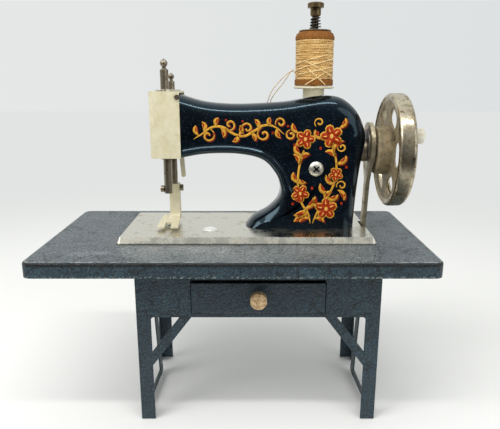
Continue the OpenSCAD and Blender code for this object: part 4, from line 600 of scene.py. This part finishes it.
# Cream fittings: face cover, presser foot, lifter and spool stand, brushed with a cream oil paint
# that has yellowed, mottled with grey rubs and a little grime.
cream_paint, tree, shader, place = new_material("yellowed_cream_paint")
grime = add(tree, "TexNoise", {"Vector": place, "Scale": 1 / (6 * MM), "Detail": 7,
                               "Roughness": 0.7})
tone = add(tree, "ValToRGB", {"Fac": grime.outputs["Fac"]},
           ramp=[(0.28, "#bcb18c"), (0.62, "#d3cbb0"), (0.42, "#cac19f")])
tree.links.new(tone.outputs["Color"], shader.inputs["Base Color"])
shader.inputs["Roughness"].default_value = 0.4
for name in ("face_cover", "presser_foot", "lifter_lever", "spool_stand", "spool_seat"):
    dress(name, cream_paint, 0.3)


# Bars, screws and inner steel parts: bare steel, aged to a brownish grey, darker on the turned
# pieces. The thumb nut over the spool is brass gone brown.
dark_steel = nickel_plate("aged_dark_steel", "#9a8f7d", "#4a4136", 0.3, 0.52, 5)
plain_steel = nickel_plate("plain_steel", "#96928a", "#6a6257", 0.32, 0.6)
black_steel = nickel_plate("blackened_steel", "#4a443c", "#26211b", 0.34, 0.5, 4)
brown_brass = nickel_plate("browned_brass", "#75644a", "#3a2f1f", 0.34, 0.48, 4)
for name in ("needle_bar", "needle_clamp_screw", "presser_bar", "foot_screw", "bar_bracket",
             "face_cover_rivets", "shaft_bush", "wheel_hub", "crank_knob_pin", "tension_washer"):
    dress(name, dark_steel, 0.12)
for name in ("pivot_sleeve", "column_bracket", "bracket_screws", "bracket_nuts",
             "needle_bar_collar", "needle_lever", "presser_collar", "main_shaft", "crank_disc",
             "eccentric", "wheel_nut", "spool_pin_nut", "drawer_knob_screw", "looper_lever",
             "looper_hook", "lever_bracket", "lever_pin"):
    dress(name, plain_steel, 0.12)
dress("lifter_cam", plain_steel, 0.03)
dress("spool_pin", black_steel, 0.12)
dress("thumb_nut", brown_brass, 0.3)


# Handwheel and rod. The wheel is a nickelled pressing that has kept some shine on the rim and gone
# olive brown inside, with rust spots, and the rod with its strap is stamped from plated strip that
# has dulled.
wheel_low, wheel_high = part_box("handwheel")
axle = (wheel_low + wheel_high) / 2
WHEEL_R = (wheel_high.z - wheel_low.z) / 2
wheel_nickel = nickel_plate("handled_nickel_plate", "#b9af98", "#7b6c52", 0.16, 0.5, 6)
tree, shader, plated, place = surface_of(wheel_nickel)
centred = add(tree, "VectorMath", {0: place, 1: axle}, operation="SUBTRACT")
across = add(tree, "VectorMath", {0: centred.outputs[0], 1: (0, 1, 1)}, operation="MULTIPLY")
reach = add(tree, "VectorMath", {0: across.outputs[0]}, operation="LENGTH")
inside = add(tree, "MapRange", {"Value": reach.outputs["Value"], "From Min": WHEEL_R * 0.86,
                                "From Max": WHEEL_R * 0.93, "To Min": 0.88, "To Max": 0.0})
mottle = add(tree, "TexNoise", {"Vector": place, "Scale": 1 / (5 * MM), "Detail": 6,
                                "Roughness": 0.7})
olive = add(tree, "ValToRGB", {"Fac": mottle.outputs["Fac"]},
            ramp=[(0.36, "#5b4f37"), (0.64, "#938360")])
dulled = add(tree, "Mix", {"Factor": inside.outputs[0], 6: plated, 7: olive.outputs["Color"]},
             data_type="RGBA")
spot = add(tree, "TexNoise", {"Vector": place, "Scale": 1 / (3.2 * MM), "Detail": 4,
                              "Roughness": 0.6})
rust = add(tree, "MapRange", {"Value": spot.outputs["Fac"], "From Min": 0.6, "From Max": 0.67,
                              "To Max": 0.85})
rusted = add(tree, "Mix", {"Factor": rust.outputs[0], 6: dulled.outputs[2], 7: linear("#6f4726")},
             data_type="RGBA")
tree.links.new(rusted.outputs[2], shader.inputs["Base Color"])
plating = add(tree, "Math", {0: 1.0, 1: inside.outputs[0]}, operation="SUBTRACT")
tree.links.new(plating.outputs[0], shader.inputs["Metallic"])
hazed = shader.inputs["Roughness"].links[0].from_socket
matt = add(tree, "Math", {0: inside.outputs[0], 1: 0.65}, operation="MULTIPLY")
worn = add(tree, "Math", {0: hazed, 1: matt.outputs[0]}, operation="MAXIMUM")
tree.links.new(worn.outputs[0], shader.inputs["Roughness"])
dress("handwheel", wheel_nickel, 0.2)
strip_nickel = nickel_plate("dulled_nickel_strip", "#beb398", "#7d7055", 0.34, 0.5, 6)
dress("connecting_rod", strip_nickel, 0.2)


# Crank knob. A small grip turned from ivory casein plastic, loose on its pin by the wheel's rim.
# Fingers have kept it smooth, and it has yellowed unevenly.
ivory, tree, shader, place = new_material("ivory_casein_plastic")
age = add(tree, "TexNoise", {"Vector": place, "Scale": 1 / (3 * MM), "Detail": 4})
tone = add(tree, "ValToRGB", {"Fac": age.outputs["Fac"]},
           ramp=[(0.35, "#c6bc9f"), (0.6, "#dedacb")])
tree.links.new(tone.outputs["Color"], shader.inputs["Base Color"])
shader.inputs["Roughness"].default_value = 0.35
dress("crank_knob", ivory, 0.4)


# Spool. A turned wooden reel, raw and dry, with the tan thread wound on it layer over layer. The
# outer turns lean each its own way, and a few cross the rest, where the thread was wound back on by
# hand.
reel_wood, tree, shader, place = new_material("dry_turned_birch")
along = add(tree, "Mapping", {"Vector": place, "Scale": (1, 1, 0.1)})
grain = add(tree, "TexNoise", {"Vector": along.outputs[0], "Scale": 1 / (0.9 * MM), "Detail": 5})
tone = add(tree, "ValToRGB", {"Fac": grain.outputs["Fac"]},
           ramp=[(0.3, "#6c400d"), (0.72, "#8f5919")])
tree.links.new(tone.outputs["Color"], shader.inputs["Base Color"])
shader.inputs["Roughness"].default_value = 0.7
shader.inputs["Specular IOR Level"].default_value = 0.3
dress("spool", reel_wood, 0.3)

core_low, core_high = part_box("thread_core")
reel_axis = (core_low + core_high) / 2
THREAD_D, CROSS_D = 0.95 * MM, 0.75 * MM
UNDER_R, OVER_R, CROSS_R = 11.7 * MM, 12.3 * MM, 12.85 * MM
UNDER_TURNS, OVER_TURNS, TURN_STEPS = 30, 27, 20
wound = core_high.z - core_low.z
wander = random.Random(4)


def around(axis, radius, angle, height):
    """A point at a radius and an angle about an upright axis, at a height."""
    return Vector((axis.x + radius * math.cos(angle), axis.y + radius * math.sin(angle), height))


def on_reel(angle, radius, height):
    """A point on the wound thread, from its angle, radius and height above the lower flange."""
    height = min(max(height, THREAD_D / 2), wound - THREAD_D / 2)
    return around(reel_axis, radius, angle, core_low.z + height)


under, over = [], []
for step in range(UNDER_TURNS * TURN_STEPS + 1):
    share = step / (UNDER_TURNS * TURN_STEPS)
    under.append(on_reel(2 * math.pi * step / TURN_STEPS, UNDER_R, wound * share))
lean = [(wander.uniform(0.1, 0.75) * MM, wander.uniform(0, 2 * math.pi))
        for _ in range(OVER_TURNS + 1)]
for step in range(OVER_TURNS * TURN_STEPS + 1):
    share = step / (OVER_TURNS * TURN_STEPS)
    angle = 2 * math.pi * step / TURN_STEPS
    tip, phase = lean[step // TURN_STEPS]
    radius = OVER_R + wander.uniform(-0.16, 0.04) * MM
    over.append(on_reel(angle, radius, wound * share + tip * math.sin(angle + phase)))
# The strands that cross the rest: first and last angle in degrees, and the heights there in mm.
CROSSING = [(-10, -205, 14.5, 3.4), (-128, -30, 12.2, 1.0), (-160, -20, 2.6, 8.6),
            (-175, -40, 9.0, 16.4)]
CROSS_STEPS, END_DIP = 16, 0.6 * MM
crossings = []
for first, last, low, high in CROSSING:
    points = []
    for k in range(CROSS_STEPS + 1):
        t = k / CROSS_STEPS
        dip = END_DIP * (abs(2 * t - 1) ** 8)
        angle = math.radians(first + (last - first) * t)
        points.append(on_reel(angle, CROSS_R - dip, (low + (high - low) * t) * MM))
    crossings.append(points)
winding = strand("wound_thread", [under, over], THREAD_D, cotton, "reel", 1)
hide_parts("thread_winding", "thread_core")
# Two strands run on down over the lower flange, where a turn has slipped off.
spool_low, spool_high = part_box("spool")
FLANGE_R = (spool_high.x - spool_low.x) / 2
flange_foot = spool_low.z - core_low.z + 0.6 * MM
SLIPPED = [(-118, -62, 7.4), (-58, -122, 5.2)]
SLIP_STEPS, FLANGE_TOP, FLANGE_CLEAR = 12, 0.7 * MM, 0.35 * MM
for first, last, high in SLIPPED:
    points = []
    for k in range(SLIP_STEPS + 1):
        t = k / SLIP_STEPS
        height = high * MM + (flange_foot - high * MM) * t
        radius = CROSS_R if height > FLANGE_TOP else FLANGE_R + FLANGE_CLEAR
        angle = math.radians(first + (last - first) * t)
        points.append(around(reel_axis, radius, angle, core_low.z + height))
    crossings.append(points)
pale_cotton = cotton.copy()
pale_cotton.name = "pale_cotton_thread"
stops = pale_cotton.node_tree.nodes["Color Ramp"].color_ramp.elements
for stop, colour in zip(stops, ("#b08a4e", "#dcba7e", "#f0dcae")):
    stop.color = linear(colour)
crossed = strand("crossed_thread", crossings, CROSS_D, pale_cotton, "reel", 2)


# Springs. Hard-drawn steel wire: a short cone that presses on the spool, and a long coil round the
# presser bar inside the cover that gives way as the foot is lifted.
CURL_STEPS = 16


def coil(name, node, low_r, high_r, curls, wire, material):
    """A coil of wire that fills the height of a CAD spring about that spring's axis, as a mesh."""
    low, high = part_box(node)
    middle = (low + high) / 2
    points = []
    for step in range(curls * CURL_STEPS + 1):
        share = step / (curls * CURL_STEPS)
        radius = low_r + (high_r - low_r) * share
        angle = 2 * math.pi * curls * share
        height = low.z + wire / 2 + share * (high.z - low.z - wire)
        points.append(around(middle, radius, angle, height))
    made = strand(name, [points], wire, material, "frame", 2)
    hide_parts(node)
    return made


cone_spring = coil("cone_spring", "tension_spring", 3.5 * MM, 2.8 * MM, 4, 0.9 * MM, black_steel)
bar_spring = coil("bar_spring", "presser_spring", 3.0 * MM, 3.0 * MM, 9, 0.7 * MM, plain_steel)
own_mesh(bar_spring)


# Studio. The toy stands on a sheet of white paper so wide that it melts into the pale wall, in soft
# light from the upper left and the right and a narrow strip above. The room in front of it is dark,
# as gloss paint shows.
PAPER, WALL_LEFT, WALL_RIGHT = "#f3f2ef", "#e6e8e7", "#dde1e1"
FLOOR, PAPER_DROP = 8.0, 0.0004
FADE_FROM, FADE_TO = 0.28, 0.95
ROOM_LIGHT = 0.88
bpy.ops.object.select_all(action="DESELECT")
bpy.ops.mesh.primitive_plane_add(size=FLOOR, location=(0, 0, -PAPER_DROP))
paper = bpy.context.object
paper.name = "paper_floor"
white_paper, tree, shader, place = new_material("white_paper")
shader.inputs["Base Color"].default_value = linear(PAPER)
shader.inputs["Roughness"].default_value = 0.9
rays = add(tree, "LightPath")
mirrored = add(tree, "Math", {0: rays.outputs["Is Glossy Ray"],
                              1: rays.outputs["Is Transmission Ray"]}, operation="MAXIMUM")
seen = add(tree, "Math", {0: rays.outputs["Is Camera Ray"], 1: mirrored.outputs[0]},
           operation="MAXIMUM")
away = add(tree, "VectorMath", {0: place}, operation="LENGTH")
far = add(tree, "MapRange", {"Value": away.outputs["Value"], "From Min": FADE_FROM,
                             "From Max": FADE_TO}, interpolation_type="SMOOTHSTEP")
shown = add(tree, "Math", {0: far.outputs[0], 1: seen.outputs[0]}, operation="MULTIPLY")
glow = add(tree, "Emission", {"Color": linear("#e2e4e3")})
mixed = add(tree, "MixShader", {0: shown.outputs[0], 1: shader.outputs[0], 2: glow.outputs[0]})
# In reflections alone the paper in front turns dark grey: a painted reflection of the dark room.
spread = add(tree, "SeparateXYZ", {0: place})
front = add(tree, "MapRange", {"Value": spread.outputs["Y"], "From Min": -0.12, "From Max": -0.35})
dim = add(tree, "Math", {0: front.outputs[0], 1: mirrored.outputs[0]}, operation="MULTIPLY")
dusk = add(tree, "Emission", {"Color": linear("#4a4c4d")})
mixed = add(tree, "MixShader", {0: dim.outputs[0], 1: mixed.outputs[0], 2: dusk.outputs[0]})
tree.links.new(mixed.outputs[0], tree.nodes["Material Output"].inputs["Surface"])
paper.data.materials.append(white_paper)

world = bpy.data.worlds.new("pale_room")
bpy.context.scene.world = world
world.use_nodes = True
tree = world.node_tree
tree.nodes.clear()
rays = add(tree, "LightPath")
way = add(tree, "SeparateXYZ", {0: add(tree, "TexCoord").outputs["Generated"]})
aside = add(tree, "MapRange", {"Value": way.outputs["X"], "From Min": -0.45, "From Max": 0.45})
wall = add(tree, "Mix", {"Factor": aside.outputs[0], 6: linear(WALL_LEFT), 7: linear(WALL_RIGHT)},
           data_type="RGBA")
behind = add(tree, "MapRange", {"Value": way.outputs["Y"], "From Min": -0.7, "From Max": 0.4,
                                "To Min": 0.2, "To Max": 1.0})
above = add(tree, "MapRange", {"Value": way.outputs["Z"], "From Min": 0.3, "From Max": 0.95,
                               "To Max": 0.6})
gleam = add(tree, "Math", {0: behind.outputs[0], 1: above.outputs[0]}, operation="ADD")
mirrored = add(tree, "Math", {0: rays.outputs["Is Glossy Ray"],
                              1: rays.outputs["Is Transmission Ray"]}, operation="MAXIMUM")
level = add(tree, "Mix", {"Factor": mirrored.outputs[0], 2: ROOM_LIGHT, 3: gleam.outputs[0]})
level = add(tree, "Mix", {"Factor": rays.outputs["Is Camera Ray"], 2: level.outputs[0], 3: 1.0})
room = add(tree, "Background", {"Color": wall.outputs[2], "Strength": level.outputs[0]})
add(tree, "OutputWorld", {"Surface": room.outputs[0]})


def soft_box(name, at, aim, size, watts):
    """A studio lamp of a width and depth in metres that faces a point."""
    bpy.ops.object.select_all(action="DESELECT")
    turn = (Vector(aim) - Vector(at)).to_track_quat("-Z", "Y").to_euler()
    bpy.ops.object.light_add(type="AREA", location=at, rotation=turn)
    lamp = bpy.context.object
    lamp.name = name
    lamp.data.shape = "RECTANGLE"
    lamp.data.size, lamp.data.size_y = size
    lamp.data.energy = watts


soft_box("key_box", (-0.85, -0.55, 1.05), (0, 0, 0.15), (0.7, 0.7), 7.5)
soft_box("fill_box", (0.8, -0.7, 0.5), (0, 0, 0.12), (0.7, 0.7), 2.2)
soft_box("top_strip", (0.0, -0.4, 0.95), (0, 0, 0.2), (0.8, 0.055), 3.2)

bpy.context.scene.view_settings.view_transform = "Standard"
